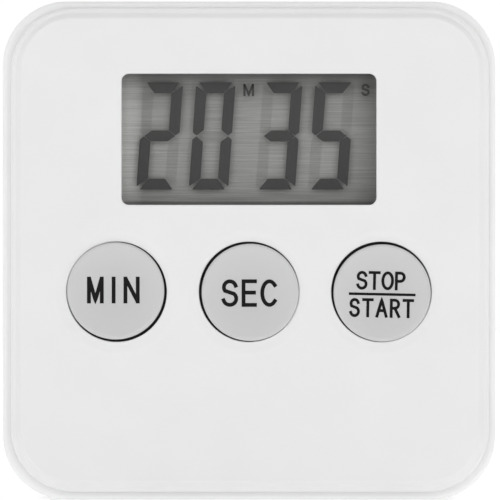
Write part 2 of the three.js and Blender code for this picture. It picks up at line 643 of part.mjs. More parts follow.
function subgroup([x, y, z]) {
  const group = new THREE.Group();
  group.position.set(x, y, z);
  timer.add(group);
  return group;
}

add(timer, 'front_shell', whitePlastic, frontShell());
add(timer, 'rear_shell', whitePlastic, rearShell());

add(timer, 'lcd_window', clearPlastic, lens());
add(timer, 'lcd_polariser', displayGlass, layer(POLARISER_FRONT, FILM, GLASS.cellBottom, LAYER_MARGIN));
add(timer, 'lcd_front_glass', displayGlass, layer(FRONT_GLASS, GLASS.thickness, GLASS.ledgeBottom));
add(timer, 'lcd_rear_glass', displayGlass, layer(REAR_GLASS, GLASS.thickness, GLASS.cellBottom));
add(timer, 'lcd_reflector', silverFilm, layer(REFLECTOR_FRONT, FILM, GLASS.cellBottom, LAYER_MARGIN));
add(timer, 'lcd_frame', darkPlastic, lcdFrame());
add(timer, 'zebra_strip', carbonRubber, zebraStrip());

add(timer, 'keypad_mat', rubber, keypadMat());
KEY_NAMES.forEach((name, i) => {
  const key = subgroup([KEY_X[i], 0, KEY.z]);
  const pill = cylinderY(PILL.radius, [PILL_BACK - PILL.thickness, PILL_BACK]);
  add(key, `button_${name}`, greyPlastic, keyCap());
  add(key, `keypad_dome_${name}`, rubber, dome());
  add(key, `contact_pill_${name}`, carbonRubber, pill);
});

add(timer, 'circuit_board', boardGreen, circuitBoard());
add(timer, 'chip_blob', epoxyBlack, chipBlob(), [BLOB.at[0], ON_BOARD, BLOB.at[1]]);
add(timer, 'crystal', nickel, cylinderX(CRYSTAL.radius, [-CRYSTAL.halfLength, CRYSTAL.halfLength]),
  [CRYSTAL.at[0], ON_BOARD + CRYSTAL.radius, CRYSTAL.at[1]]);
CAPACITOR.places.forEach(([x, z], i) => {
  add(timer, `capacitor_${i + 1}`, ceramicTan, chipPart(CAPACITOR.height), [x, ON_BOARD, z]);
});
RESISTOR.places.forEach(([x, z], i) => {
  add(timer, `resistor_${i + 1}`, epoxyBlack, chipPart(RESISTOR.height), [x, ON_BOARD, z]);
});

const disc = (radius, front) => cylinderY(radius, [front, front + PIEZO.sheet], [0, 0], 32);
const ceramicFront = PIEZO.discFront - PIEZO.sheet - CLEARANCE;
add(timer, 'piezo_disc', brass, disc(PIEZO.discRadius, PIEZO.discFront), [0, 0, PIEZO.z]);
add(timer, 'piezo_ceramic', ceramicWhite, disc(PIEZO.ceramicRadius, ceramicFront), [0, 0, PIEZO.z]);
for (const [name, [finish, points]] of Object.entries(PIEZO_WIRES)) {
  add(timer, name, finish, wire(points, WIRE_RADIUS));
}

const cellGroup = subgroup([NUB_TIP, CELL.y, CELL.z]);
cellGroup.rotation.z = -Math.PI / 2;
add(cellGroup, 'battery', cellJacket, batteryCell());
add(timer, 'battery_spring', nickel, batterySpring());
add(timer, 'negative_contact', nickel, contactPlate(-1));
add(timer, 'positive_contact', nickel, contactPlate(1));
add(timer, 'battery_wire_red', wireRed, wire(BATTERY_WIRE, WIRE_RADIUS));
add(timer, 'battery_wire_black', wireBlack, wire(BATTERY_WIRE.map(([x, y, z]) => [-x, y, z]), WIRE_RADIUS));
add(subgroup([0, DOOR.pivotY, DOOR.pivotZ]), 'battery_door', whitePlastic, batteryDoor());

add(subgroup([0, STAND.pivotY, STAND.pivotZ]), 'stand', whitePlastic, standFlap());

const magnetY = [CASE.back + MAGNET.proud - MAGNET.thickness, CASE.back + MAGNET.proud];
['magnet_left', 'magnet_right'].forEach((name, i) => {
  const x = i ? MAGNET.x : -MAGNET.x;
  add(timer, name, nickel, cylinderY(MAGNET.radius, magnetY, [0, 0], 32), [x, 0, MAGNET.z]);
});

CASE_SCREWS.forEach(([x, z], i) => {
  const y = REAR_BOSS.seat + CLEARANCE;
  add(timer, `case_screw_${i + 1}`, screwSteel, screw(CASE_SCREW), [x, y, z]);
});
BOARD_SCREWS.forEach(([x, z], i) => {
  add(timer, `board_screw_${i + 1}`, screwSteel, screw(BOARD_SCREW), [x, ON_BOARD, z]);
});

export default timer;
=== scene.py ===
"""Looks of the digital lab timer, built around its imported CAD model.

Every piece is a mesh made here from outlines swept in depth, in millimetres until it becomes a
Blender mesh in metres. +Z is up and the display faces -Y.
"""

import json
import math

import bmesh
import bpy
from mathutils import Matrix, Vector
from mathutils.geometry import tessellate_polygon


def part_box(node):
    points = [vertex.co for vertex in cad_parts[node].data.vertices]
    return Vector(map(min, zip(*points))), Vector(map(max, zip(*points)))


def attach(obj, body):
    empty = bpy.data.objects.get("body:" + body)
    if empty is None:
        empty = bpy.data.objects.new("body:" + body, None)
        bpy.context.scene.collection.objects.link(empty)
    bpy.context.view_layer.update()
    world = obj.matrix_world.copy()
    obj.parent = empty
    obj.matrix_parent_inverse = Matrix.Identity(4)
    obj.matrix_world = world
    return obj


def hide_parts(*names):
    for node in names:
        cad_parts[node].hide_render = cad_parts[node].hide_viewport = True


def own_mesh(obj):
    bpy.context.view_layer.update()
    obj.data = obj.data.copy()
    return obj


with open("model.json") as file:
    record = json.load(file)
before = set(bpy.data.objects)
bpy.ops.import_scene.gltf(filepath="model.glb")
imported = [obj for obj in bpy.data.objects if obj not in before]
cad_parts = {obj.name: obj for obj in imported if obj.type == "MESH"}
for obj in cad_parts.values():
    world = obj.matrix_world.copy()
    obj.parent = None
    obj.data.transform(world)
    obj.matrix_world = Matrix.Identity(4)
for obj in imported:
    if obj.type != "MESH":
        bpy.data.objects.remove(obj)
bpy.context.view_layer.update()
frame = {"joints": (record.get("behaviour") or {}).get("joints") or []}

MM = 0.001


def node_box(node):
    """Lowest and highest corner of a CAD node, in millimetres."""
    return tuple(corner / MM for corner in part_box(node))


def middle_of(node):
    """Middle of a CAD node's box, in millimetres."""
    low, high = node_box(node)
    return (low + high) / 2


def spot(node):
    """Middle of a CAD node's box seen from the front, as (x, z)."""
    middle = middle_of(node)
    return (middle.x, middle.z)


# ---- dimensions, in millimetres

CASE_LOW, CASE_HIGH = node_box("rear_shell")
CASE_CORNER = 8.5
CASE_BACK = CASE_HIGH.y
CASE_WALL = 1.6
BACK_INSIDE = CASE_BACK - CASE_WALL
RIM_FRONT = CASE_LOW.y
RIM = 1.0  # the tub's rim beside the cover
LEDGE = -3.2
TUB_WALL = 1.8

FACE = node_box("front_shell")[0].y
FRONT_INSIDE = FACE + CASE_WALL
COVER_INSET = 1.06
COVER_CORNER = 9.4  # of the seam's outline, before its inset
COVER_SHIFT = (0.13, 0.08)  # the cover and its seam sit a little to one side
SHOULDER = FACE + 0.6
SKIRT_END = LEDGE - 0.1
SKIRT_INSET = 2.8

LENS_LOW, LENS_HIGH = node_box("lcd_window")
LENS_MARGIN = 0.8
WINDOW_WIDTH = LENS_HIGH.x - LENS_LOW.x - 2 * LENS_MARGIN
WINDOW_HEIGHT = LENS_HIGH.z - LENS_LOW.z - 2 * LENS_MARGIN
WINDOW_MIDDLE = ((LENS_HIGH.x + LENS_LOW.x) / 2, (LENS_HIGH.z + LENS_LOW.z) / 2)
WINDOW_CORNER = 0.95
WINDOW_SILL = 0.9
# Painted light and shade on the display's back, across the window and up it: (share of the way, level). The
# pale left edge is a painted reflection, and the darker other edges are painted shade near the window's
# walls.
FILM_PAINTED_LIGHT_ACROSS = ((0.0, 2.0), (0.025, 2.0), (0.05, 1.7), (0.08, 1.05), (0.5, 1.03), (0.87, 1.03),
               (0.94, 0.95), (1.0, 0.9))
FILM_PAINTED_SHADE_UPWARDS = ((0.0, 0.4), (0.02, 0.45), (0.035, 0.9), (0.16, 1.0), (0.72, 1.0), (0.85, 0.85),
                (0.965, 0.8), (1.0, 0.5))

KEYS = ("min", "sec", "start_stop")
KEY_HOLE = 6.57
KEY_RADIUS = 6.375
KEY_FLANGE = 7.7
KEY_DISH_RADIUS = 26.0
# How far each cap sits off the middle of its hole, x and z.
KEY_SHIFT = {"min": (-0.13, 0.13), "sec": (0.165, -0.07), "start_stop": (0.1, -0.15)}

SCREWS_CASE = [f"case_screw_{i}" for i in range(1, 5)]
SCREWS_BOARD = [f"board_screw_{i}" for i in range(1, 5)]
MAGNETS = ("magnet_left", "magnet_right")
WIRE_RADIUS = 0.35  # of the leads, and of the battery spring
PRINT = 0.02  # how far a printed legend stands out


# ---- outlines

def circle(centre, radius, segments=64):
    """A circle in the X-Z plane, as a function of how far it is drawn in."""
    def outline(inset):
        turns = (2 * math.pi * i / segments for i in range(segments))
        reach = radius - inset
        return [(centre[0] + reach * math.cos(t), centre[1] + reach * math.sin(t)) for t in turns]
    return outline


def filleted(corners, steps=8):
    """A closed outline through (x, z, radius) corners, each rounded by an arc, as a function of its inset."""
    points = []
    count = len(corners)
    for i, (x, z, radius) in enumerate(corners):
        here = Vector((x, z))
        before = (Vector(corners[i - 1][:2]) - here).normalized()
        after = (Vector(corners[(i + 1) % count][:2]) - here).normalized()
        half = before.angle(after) / 2
        centre = here + (before + after).normalized() * radius / math.sin(half)
        start = here + before * radius / math.tan(half) - centre
        sweep = start.angle_signed(here + after * radius / math.tan(half) - centre)
        points += [centre + Matrix.Rotation(-sweep * k / steps, 2) @ start for k in range(steps + 1)]

    def outline(inset):
        moved = []
        for i, point in enumerate(points):
            arrive = (point - points[i - 1]).normalized()
            leave = (points[(i + 1) % len(points)] - point).normalized()
            inwards = Vector((-arrive.y - leave.y, arrive.x + leave.x)).normalized()
            reach = inset / max(inwards.dot(Vector((-leave.y, leave.x))), 0.2)
            moved.append(tuple(point + inwards * reach))
        return moved
    return outline


def rounded_rect(low, high, corner, steps=8):
    """A rectangle between two (x, z) corners, counter-clockwise, with round corners."""
    (x0, z0), (x1, z1) = low, high
    return filleted([(x1, z0, corner), (x1, z1, corner), (x0, z1, corner), (x0, z0, corner)], steps)


def around(low, high, corner, steps=8, margin=0):
    """A round-cornered rectangle around a CAD box."""
    return rounded_rect((low.x - margin, low.z - margin), (high.x + margin, high.z + margin), corner, steps)


def upright(half, bottom, top, corner, steps=8, low_corner=None):
    """A round-cornered rectangle centred on x = 0. Its lower corners may have a radius of their own."""
    below = corner if low_corner is None else low_corner
    corners = [(half, bottom, below), (half, top, corner), (-half, top, corner), (-half, bottom, below)]
    return filleted(corners, steps)


def between(start, end, share, other_share=None):
    """A point part of the way between two. The second coordinate may go another share of its way."""
    second = share if other_share is None else other_share
    return (start[0] + (end[0] - start[0]) * share, start[1] + (end[1] - start[1]) * second)


def turn(start, end, leave="flat", steps=4):
    """A quarter round between two (inset, depth) points. It leaves along the face, or along the wall."""
    angles = [i / steps * math.pi / 2 for i in range(steps + 1)]
    if leave == "flat":
        return [between(start, end, math.sin(a), 1 - math.cos(a)) for a in angles]
    return [between(start, end, 1 - math.cos(a), math.sin(a)) for a in angles]


def ease(start, end, steps=8):
    """A soft S-shaped step between two (inset, depth) points, level at both ends."""
    return [between(start, end, t, t * t * (3 - 2 * t)) for t in (i / steps for i in range(steps + 1))]


def slab(front, back, bevel):
    """The profile of a plate with bevelled edges."""
    return [(bevel, front), (0, front + bevel), (0, back - bevel), (bevel, back)]


def soft_slab(front, back, edge, front_steps=2, back_steps=2):
    """The profile of a plate with round edges."""
    profile = turn((edge, front), (0, front + edge), steps=front_steps)
    return profile + turn((0, back - edge), (edge, back), "wall", back_steps)


# ---- meshes

class Skin:
    """A surface built from outlines at given depths, joined by strips and flat fills."""

    def __init__(self):
        self.points = []
        self.faces = []

    def loop(self, outline, inset, depth):
        first = len(self.points)
        self.points += [(x, depth, z) for x, z in outline(inset)]
        return list(range(first, len(self.points)))

    def sweep(self, outline, profile):
        """A strip through (inset, depth) points. Returns its first and last loops."""
        loops = [self.loop(outline, inset, depth) for inset, depth in profile]
        for a, b in zip(loops, loops[1:]):
            count = len(a)
            self.faces += [(a[i], a[(i + 1) % count], b[(i + 1) % count], b[i]) for i in range(count)]
        return loops[0], loops[-1]

    def sweeps(self, outlines, profile):
        """One strip for each outline. Returns their first loops and their last loops."""
        return zip(*(self.sweep(outline, profile) for outline in outlines))

    def fill(self, *loops):
        """A flat face inside the first loop and outside the others."""
        rings = [[Vector((self.points[i][0], self.points[i][2], 0)) for i in loop] for loop in loops]
        order = [i for loop in loops for i in loop]
        self.faces += [tuple(order[k] for k in triangle) for triangle in tessellate_polygon(rings)]

    def cup(self, outline, profile):
        """A sweep closed at its far end. Returns its open loop."""
        mouth, end = self.sweep(outline, profile)
        self.fill(end)
        return mouth

    def plug(self, outline, profile, holes=(), bore=()):
        """A sweep closed at both ends, with any holes bored through it."""
        first, last = self.sweep(outline, profile)
        firsts, lasts = self.sweeps(holes, bore) if holes else ((), ())
        self.fill(first, *firsts)
        self.fill(last, *lasts)
        return self

    def moved(self, matrix):
        self.points = [tuple(matrix @ Vector(p)) for p in self.points]
        return self

    def mesh(self, name):
        data = bpy.data.meshes.new(name)
        data.from_pydata([Vector(p) * MM for p in self.points], [], self.faces)
        tidy = bmesh.new()
        tidy.from_mesh(data)
        bmesh.ops.remove_doubles(tidy, verts=tidy.verts, dist=1e-7)
        bmesh.ops.recalc_face_normals(tidy, faces=tidy.faces)
        tidy.to_mesh(data)
        tidy.free()
        return data


ALONG_X = Matrix.Rotation(-math.pi / 2, 4, "Z")  # turns the depth axis Y to X


def as_mesh(shape, name):
    return shape.mesh(name) if isinstance(shape, Skin) else shape


def add(name, data):
    """A new object in the scene."""
    made = bpy.data.objects.new(name, data)
    bpy.context.scene.collection.objects.link(made)
    return made


def tie(piece, body, finish, nodes):
    """Paints a piece, makes it ride on a body and hides the CAD nodes it stands for."""
    piece.data.materials.clear()
    piece.data.materials.append(finish.material)
    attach(piece, body)
    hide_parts(*nodes)
    return piece


def place(name, shape, finish, nodes=(), body="case"):
    """Makes a smoothly shaded piece of a mesh or a skin."""
    mesh = as_mesh(shape, name)
    mesh.shade_smooth()
    mesh.set_sharp_from_angle(angle=math.radians(33))
    piece = add(name, mesh)
    piece.modifiers.new("weighted", "WEIGHTED_NORMAL").keep_sharp = True
    return tie(piece, body, finish, nodes)


def combined(base, others, operation):
    """A mesh joined with or cut by others."""
    holder = add("combining", as_mesh(base, "base"))
    tools = []
    for i, shape in enumerate(others):
        tools.append(add(f"combining_{i}", as_mesh(shape, "tool")))
        modifier = holder.modifiers.new(f"combine_{i}", "BOOLEAN")
        modifier.operation = operation
        modifier.solver = "EXACT"
        modifier.object = tools[-1]
    graph = bpy.context.evaluated_depsgraph_get()
    result = bpy.data.meshes.new_from_object(holder.evaluated_get(graph), depsgraph=graph)
    for spare in [holder, *tools]:
        bpy.data.objects.remove(spare)
    return result


def bar(x_range, radius, centre_y, centre_z, segments=32, bevel=0.1):
    """A round bar along X, with its ends slightly bevelled."""
    skin = Skin().plug(circle((0, 0), radius, segments), slab(*x_range, bevel))
    return skin.moved(Matrix.Translation((0, centre_y, centre_z)) @ ALONG_X)


def plate(outline, front, back, bevel):
    """A flat plate with its edges slightly rounded."""
    return Skin().plug(outline, soft_slab(front, back, bevel))


def node_plate(node, corner, bevel, steps=4):
    """A rounded plate that fills a CAD node's box."""
    low, high = node_box(node)
    return plate(around(low, high, corner, steps), low.y, high.y, bevel)


def node_disc(node, segments, bevel):
    """A round plate that fills a CAD node's box."""
    low, high = node_box(node)
    return plate(circle(spot(node), (high.x - low.x) / 2, segments), low.y, high.y, bevel)


# ---- materials

def add_node(tree, kind, inputs, output=0, **settings):
    """A shader node whose inputs are linked to sockets or set to constants. Returns one of its outputs."""
    node = tree.nodes.new("ShaderNode" + kind)
    for setting, value in settings.items():
        setattr(node, setting, value)
    for socket, value in inputs.items():
        if isinstance(value, bpy.types.NodeSocket):
            tree.links.new(value, node.inputs[socket])
        else:
            node.inputs[socket].default_value = value
    return node.outputs[output]


def add_ramp(tree, value, stops):
    """A grey level along a value from 0 to 1, through (value, level) stops. Its output is half the level."""
    node = tree.nodes.new("ShaderNodeValToRGB")
    elements = node.color_ramp.elements
    elements.remove(elements[0])
    for i, (position, level) in enumerate(stops):
        stop = elements.new(position) if i else elements[0]
        stop.position = position
        stop.color = (level / 2, level / 2, level / 2, 1)
    tree.links.new(value, node.inputs[0])
    return node.outputs["Color"]


class Finish:
    """A procedural material around one Principled shader, and the record's slot that it belongs to."""

    def __init__(self, name, colour, roughness, slot=None, **constants):
        self.slot = slot or name
        self.material = bpy.data.materials.new(name)
        self.material.use_nodes = True
        self.tree = self.material.node_tree
        self.shader = self.tree.nodes["Principled BSDF"]
        self.shader.inputs["Base Color"].default_value = (*colour, 1)
        self.shader.inputs["Roughness"].default_value = roughness
        for socket, value in constants.items():
            self.shader.inputs[socket.replace("_", " ")].default_value = value
        self.position = self.node("TexCoord", {}, "Object")

    def node(self, kind, inputs, output=0, **settings):
        return add_node(self.tree, kind, inputs, output, **settings)

    def calculated(self, operation, first, second):
        return self.node("Math", {0: first, 1: second}, operation=operation)

    def along(self, axis):
        """The place along an axis, in metres."""
        return self.node("SeparateXYZ", {0: self.position}, axis)

    def noise(self, size, detail=3, stretch=(1, 1, 1)):
        """Noise whose features are about size millimetres, longer where stretch is larger."""
        scale = [1 / (size * MM * s) for s in stretch]
        spread = self.node("Mapping", {"Vector": self.position, "Scale": scale})
        return self.node("TexNoise", {"Vector": spread, "Scale": 1, "Detail": detail}, "Fac")

    def ranged(self, value, low, high, start=0.3, end=0.7):
        """A value that goes from low to high as the given one goes from start to end."""
        limits = {"From Min": start, "From Max": end, "To Min": low, "To Max": high}
        return self.node("MapRange", {"Value": value, **limits}, "Result")

    def mixed(self, share, first, second):
        """A colour between two colours or sockets."""
        first, second = (c if isinstance(c, bpy.types.NodeSocket) else (*c, 1) for c in (first, second))
        return self.node("Mix", {"Factor": share, 6: first, 7: second}, 2, data_type="RGBA")

    def mottled(self, noise, first, second):
        """A colour that wanders between two colours with a noise."""
        return self.mixed(self.ranged(noise, 0, 1), first, second)

    def multiplied(self, first, second, gain):
        """The product of two colours and a gain."""
        product = self.node("VectorMath", {0: first, 1: second}, operation="MULTIPLY")
        return self.node("VectorMath", {0: product, "Scale": gain}, operation="SCALE")

    def bump(self, height, depth):
        """A bump of depth millimetres."""
        return self.node("Bump", {"Height": height, "Strength": 1, "Distance": depth * MM}, "Normal")

    def link(self, **values):
        """Links values to the shader's sockets."""
        for socket, value in values.items():
            self.tree.links.new(value, self.shader.inputs[socket.replace("_", " ")])
        return self

    def shared(self, share, first, second):
        """Gives the surface to a mix of two shaders."""
        mix = self.node("MixShader", {0: share, 1: first, 2: second})
        self.tree.links.new(mix, self.tree.nodes["Material Output"].inputs["Surface"])
        return self


def grey(value):
    return (value, value, value)


def plastic(name, colour, roughness=0.45, grain=0.12, depth=0.004, variation=0.02, **constants):
    """A moulded plastic: a fine spark-eroded grain, with faint changes of tone and gloss."""
    finish = Finish(name, colour, roughness, **constants)
    darker = [c * (1 - variation) for c in colour]
    return finish.link(
        Base_Color=finish.mottled(finish.noise(9.0, 2), darker, colour),
        Roughness=finish.ranged(finish.noise(1.3, 4), roughness - 0.05, roughness + 0.07),
        Normal=finish.bump(finish.noise(grain, 4), depth))


def metal(name, colour, roughness=0.3, stretch=(1, 1, 12)):
    """A plated or rolled metal, with fine streaks."""
    finish = Finish(name, colour, roughness, Metallic=1.0)
    streaks = finish.noise(0.12, 4, stretch)
    return finish.link(
        Base_Color=finish.mottled(finish.noise(1.1, 4), [c * 0.8 for c in colour], colour),
        Roughness=finish.ranged(streaks, roughness - 0.08, roughness + 0.12),
        Normal=finish.bump(streaks, 0.002))


def clear(name, tint, gloss, mirror, **constants):
    """A thin clear sheet: light passes straight through, and its surface shines more at a slant.

    It mirrors the given share of light that meets it squarely.
    """
    finish = Finish(name, (1, 1, 1), gloss, Metallic=1.0, **constants)
    finish.link(Roughness=finish.ranged(finish.noise(2.0, 3), gloss, gloss + 0.05))
    slant = finish.calculated("POWER", finish.node("LayerWeight", {}, "Facing"), 5)
    through = finish.node("BsdfTransparent", {"Color": (*tint, 1)})
    return finish.shared(finish.ranged(slant, mirror, 1, 0, 1), through, finish.shader.outputs[0])


def display_film():
    """The display's silvery back: level streaks, with painted shade darkening it towards its edges and a
    painted reflection making its left edge pale.
    """
    finish = Finish("display_film", (0.36, 0.36, 0.355), 0.42)
    streaks = finish.noise(0.2, 3, (45, 1, 1))
    middle = finish.mottled(finish.noise(1.6, 3, (4, 1, 1)), (0.33, 0.33, 0.325), (0.375, 0.375, 0.37))
    colour = finish.mixed(finish.ranged(streaks, 0, 0.65, 0.38, 0.62), middle, (0.235, 0.235, 0.232))
    # painted light and shade: these ramps make the left edge pale as a painted reflection and darken the
    # other edges as painted shade
    for axis, centre, half, stops in (
        ("X", WINDOW_MIDDLE[0], WINDOW_WIDTH / 2, FILM_PAINTED_LIGHT_ACROSS),
        ("Z", WINDOW_MIDDLE[1], WINDOW_HEIGHT / 2, FILM_PAINTED_SHADE_UPWARDS),
    ):
        reach = finish.ranged(finish.along(axis), 0, 1, (centre - half) * MM, (centre + half) * MM)
        colour = finish.multiplied(colour, add_ramp(finish.tree, reach, stops), 2)
    return finish.link(Base_Color=colour, Roughness=finish.ranged(streaks, 0.36, 0.5),
                       Normal=finish.bump(streaks, 0.003))


def key_plastic(key, centre):
    """Satin grey plastic, with painted shading that makes the dished face darker in its middle and paler
    round its rim, and painted shade darkening the key down its side.
    """
    finish = Finish(f"grey_key_{key}", grey(0.5), 0.5, "grey_key", Specular_IOR_Level=0.12)
    middle = (-centre[0] * MM, 0, -centre[1] * MM)
    offset = finish.node("Mapping", {"Vector": finish.position, "Location": middle})
    level = finish.node("Mapping", {"Vector": offset, "Scale": (1, 0, 1)})
    reach = finish.node("VectorMath", {0: level}, "Value", operation="LENGTH")
    # painted shading: the dished face goes from darker in its middle to paler at its rim, standing for how
    # the dish catches light
    dished = finish.mixed(finish.ranged(reach, 0, 1, 0, KEY_RADIUS * MM), grey(0.55), grey(0.61))
    # painted shade: the key's side is darkened towards near black with depth, standing for the shade in the
    # gap round the key
    front = node_box(f"button_{key}")[0].y
    sunk = finish.ranged(finish.along("Y"), 0, 1, (front + 0.4) * MM, (front + 1.1) * MM)
    side = finish.ranged(reach, 0, 1, (KEY_RADIUS - 0.06) * MM, (KEY_RADIUS - 0.02) * MM)
    return finish.link(
        Base_Color=finish.mixed(finish.calculated("MULTIPLY", sunk, side), dished, grey(0.05)),
        Roughness=finish.ranged(finish.noise(1.3, 4), 0.48, 0.58),
        Normal=finish.bump(finish.noise(0.09, 4), 0.003))


def printed_cell():
    """The cell's jacket: a dark printed film with a metallic band towards the positive end."""
    finish = Finish("cell_jacket", (0.05, 0.07, 0.1), 0.3, Metallic=0.35, Coat_Weight=0.4)
    band_start = (node_box("battery")[1].x - 13) * MM
    band = finish.ranged(finish.along("X"), 0, 1, band_start, band_start + 0.2 * MM)
    base = finish.mottled(finish.noise(2.0, 3), (0.04, 0.055, 0.08), (0.055, 0.075, 0.11))
    return finish.link(
        Base_Color=finish.mixed(band, base, (0.5, 0.34, 0.16)),
        Roughness=finish.ranged(finish.noise(0.8, 4), 0.24, 0.38),
        Normal=finish.bump(finish.noise(1.5, 3), 0.01))


WHITE = plastic("white_case_front", grey(0.82), 0.42, slot="white_case")
# painted light: the same white plastic as the front cover, painted a lighter white so the tub's rim and the
# back look more brightly lit
WHITE_BACK = plastic("white_case_back", grey(0.885), 0.45, slot="white_case")
INK = plastic("black_ink", grey(0.009), 0.55, 0.05, 0.002, 0.2, slot="grey_key", Specular_IOR_Level=0.1)
SEGMENT = plastic("dark_segment", grey(0.06), 0.5, 0.3, 0.001, 0.15, slot="display_film",
                  Specular_IOR_Level=0.1)
GHOST = clear("faint_segment", grey(0.97), 0.3, 0.0001, slot="display_film")
LENS_CLEAR = clear("clear_window", grey(0.99), 0.06, 0.034)
CELL_GLASS = clear("display_glass", (0.985, 0.985, 0.98), 0.12, 0.0004)
FILM = display_film()
BLACK = plastic("black_plastic", grey(0.03), 0.5)
SILICONE = plastic("silicone", (0.6, 0.61, 0.58), 0.6, 0.3, 0.006, Subsurface_Weight=0.1)
CARBON = plastic("carbon_rubber", grey(0.015), 0.7)
BOARD = plastic("board", (0.012, 0.13, 0.055), 0.3, 0.5, 0.006, 0.3)
EPOXY = plastic("epoxy", grey(0.008), 0.22, 1.2, 0.01)
CHIP_CERAMIC = plastic("component_ceramic", (0.42, 0.3, 0.17), 0.5, variation=0.15)
SOUNDER_CERAMIC = plastic("sounder_ceramic", (0.7, 0.68, 0.6), 0.4, variation=0.1)
BRASS = metal("brass_sheet", (0.72, 0.5, 0.2), 0.32)
NICKEL = metal("nickel_plate", (0.62, 0.61, 0.58), 0.25)
STEEL = metal("screw_steel", (0.42, 0.42, 0.43), 0.32)
RED = plastic("red_insulation", (0.45, 0.02, 0.012), 0.35)
BLACK_WIRE = plastic("black_insulation", grey(0.012), 0.35)
JACKET = printed_cell()


# ---- case

CASE_OUTLINE = around(CASE_LOW, CASE_HIGH, CASE_CORNER, 20)
SHIFT = Vector((COVER_SHIFT[0], 0, COVER_SHIFT[1]))
COVER_OUTLINE = around(CASE_LOW + SHIFT, CASE_HIGH + SHIFT, COVER_CORNER, 20)
WINDOW_OUTLINE = around(LENS_LOW, LENS_HIGH, WINDOW_CORNER, margin=-LENS_MARGIN)


def hole_centre(key):
    """Middle of a key's hole in the cover, as (x, z)."""
    return (middle_of(f"button_{key}").x, node_box(f"button_{key}")[0].z + KEY_FLANGE)


def front_cover():
    """The front half of the case: a raised face above a round shoulder, with its openings."""
    skin = Skin()
    break_edge = 0.15
    profile = ease((2.6, FACE), (1.65, SHOULDER))
    profile += turn((1.6, SHOULDER), (COVER_INSET, SHOULDER + 0.6), steps=6)
    profile += [(COVER_INSET, SKIRT_END - break_edge), (COVER_INSET + break_edge, SKIRT_END),
                (SKIRT_INSET - break_edge, SKIRT_END), (SKIRT_INSET, SKIRT_END - break_edge)]
    profile += turn((SKIRT_INSET, FRONT_INSIDE + 0.3), (SKIRT_INSET + 0.3, FRONT_INSIDE), "wall")
    face, inside = skin.sweep(COVER_OUTLINE, profile)

    sill = FACE + WINDOW_SILL
    pocket = -LENS_MARGIN - 0.2
    window = turn((-0.14, FACE), (0, FACE + 0.14))
    window += [(0, sill - 0.05), (-0.05, sill), (pocket, sill), (pocket, FRONT_INSIDE)]
    outer, inner = skin.sweep(WINDOW_OUTLINE, window)
    face_holes, inside_holes = [outer], [inner]

    sunk = FACE + 0.15
    hole = ease((-1.55, FACE), (-0.2, sunk), 6) + turn((-0.14, sunk + 0.01), (0, sunk + 0.15))
    hole += [(0, FRONT_INSIDE - 0.1), (-0.1, FRONT_INSIDE)]
    pin = [(0, FRONT_INSIDE), (0, FRONT_INSIDE + 1.2), (0.1, FRONT_INSIDE + 1.3)]
    for x, z in map(hole_centre, KEYS):
        outer, inner = skin.sweep(circle((x, z), KEY_HOLE, 96), hole)
        face_holes.append(outer)
        inside_holes += [inner, skin.cup(rounded_rect((x - 0.5, z + 6.9), (x + 0.5, z + 7.9), 0.2, 3), pin)]
    skin.fill(face, *face_holes)
    skin.fill(inside, *inside_holes)

    board_front = node_box("circuit_board")[0].y
    bosses = []
    for nodes, radius, bore, back, bore_end in (
        (SCREWS_BOARD, 2.2, 1.0, board_front - 0.05, FRONT_INSIDE + 0.5),
        (SCREWS_CASE, 2.5, 1.25, 1.0, -4.5),
    ):
        wall = radius - bore
        profile = [(0, FRONT_INSIDE - 0.3), (0, back - 0.1), (0.1, back), (wall - 0.1, back),
                   (wall, back - 0.1), (wall, bore_end)]
        bosses += [Skin().plug(circle(spot(node), radius, 32), profile) for node in nodes]
    place("front_cover", combined(skin, bosses, "UNION"), WHITE, ["front_shell"])


STAND_LOW, STAND_HIGH = node_box("stand")
DOOR_LOW, DOOR_HIGH = node_box("battery_door")
PIVOTS = {j["name"]: Vector(j["pos_m"]) / MM for j in frame["joints"] if "pos_m" in j}
STAND_PIVOT = PIVOTS["stand_hinge"]
DOOR_PIVOT = PIVOTS["door_hinge"]
GAP = 0.3  # round the stand in its recess, and round the door in its seat
STAND_HALF = STAND_HIGH.x - 1.1  # each pin goes 1.1 past the flap
STAND_TOP = STAND_HIGH.z
RECESS_BOTTOM = STAND_PIVOT.z - 2.7
RECESS_TOP = STAND_TOP + GAP
RECESS_FLOOR = 5.6
RECESS_WALL = 1.3
NOTCH_HALF = 5.0
NOTCH_TOP = RECESS_TOP + 2.2
DOOR_HALF = DOOR_HIGH.x - 1.0  # each pin goes 1.0 past the door
DOOR_TOP = 19.7
THUMB_RADIUS = 5.0  # of the hollow over the door's upper edge
THUMB_HEIGHT = 17.3
THUMB_FLOOR = 6.8
BAY_HALF = (26.0, 5.6)
BAY_FLOOR = -4.5
POSTS = ((-12.0, 30.5), (12.0, 30.5))
POST_RADIUS = 1.5


def recess_outline():
    """The stand's recess with its finger notch at the top."""
    x = STAND_HALF + GAP
    right = [(x, RECESS_BOTTOM, 2.0), (x, RECESS_TOP, 2.0),
             (NOTCH_HALF, RECESS_TOP, 0.5), (NOTCH_HALF, NOTCH_TOP, 1.2)]
    return filleted(right + [(-x, z, radius) for x, z, radius in reversed(right)])


def sound_holes():
    """The middles of the sounder's seven holes."""
    x, z = spot("piezo_disc")
    turns = [i * math.pi / 3 for i in range(6)]
    return [(x, z)] + [(x + 3.2 * math.cos(t), z + 3.2 * math.sin(t)) for t in turns]


def raised(top):
    """The profile of a block that stands on the back's inside."""
    return [(-0.1, BACK_INSIDE), (0, BACK_INSIDE - 0.1), (0, top + 0.1), (0.1, top)]


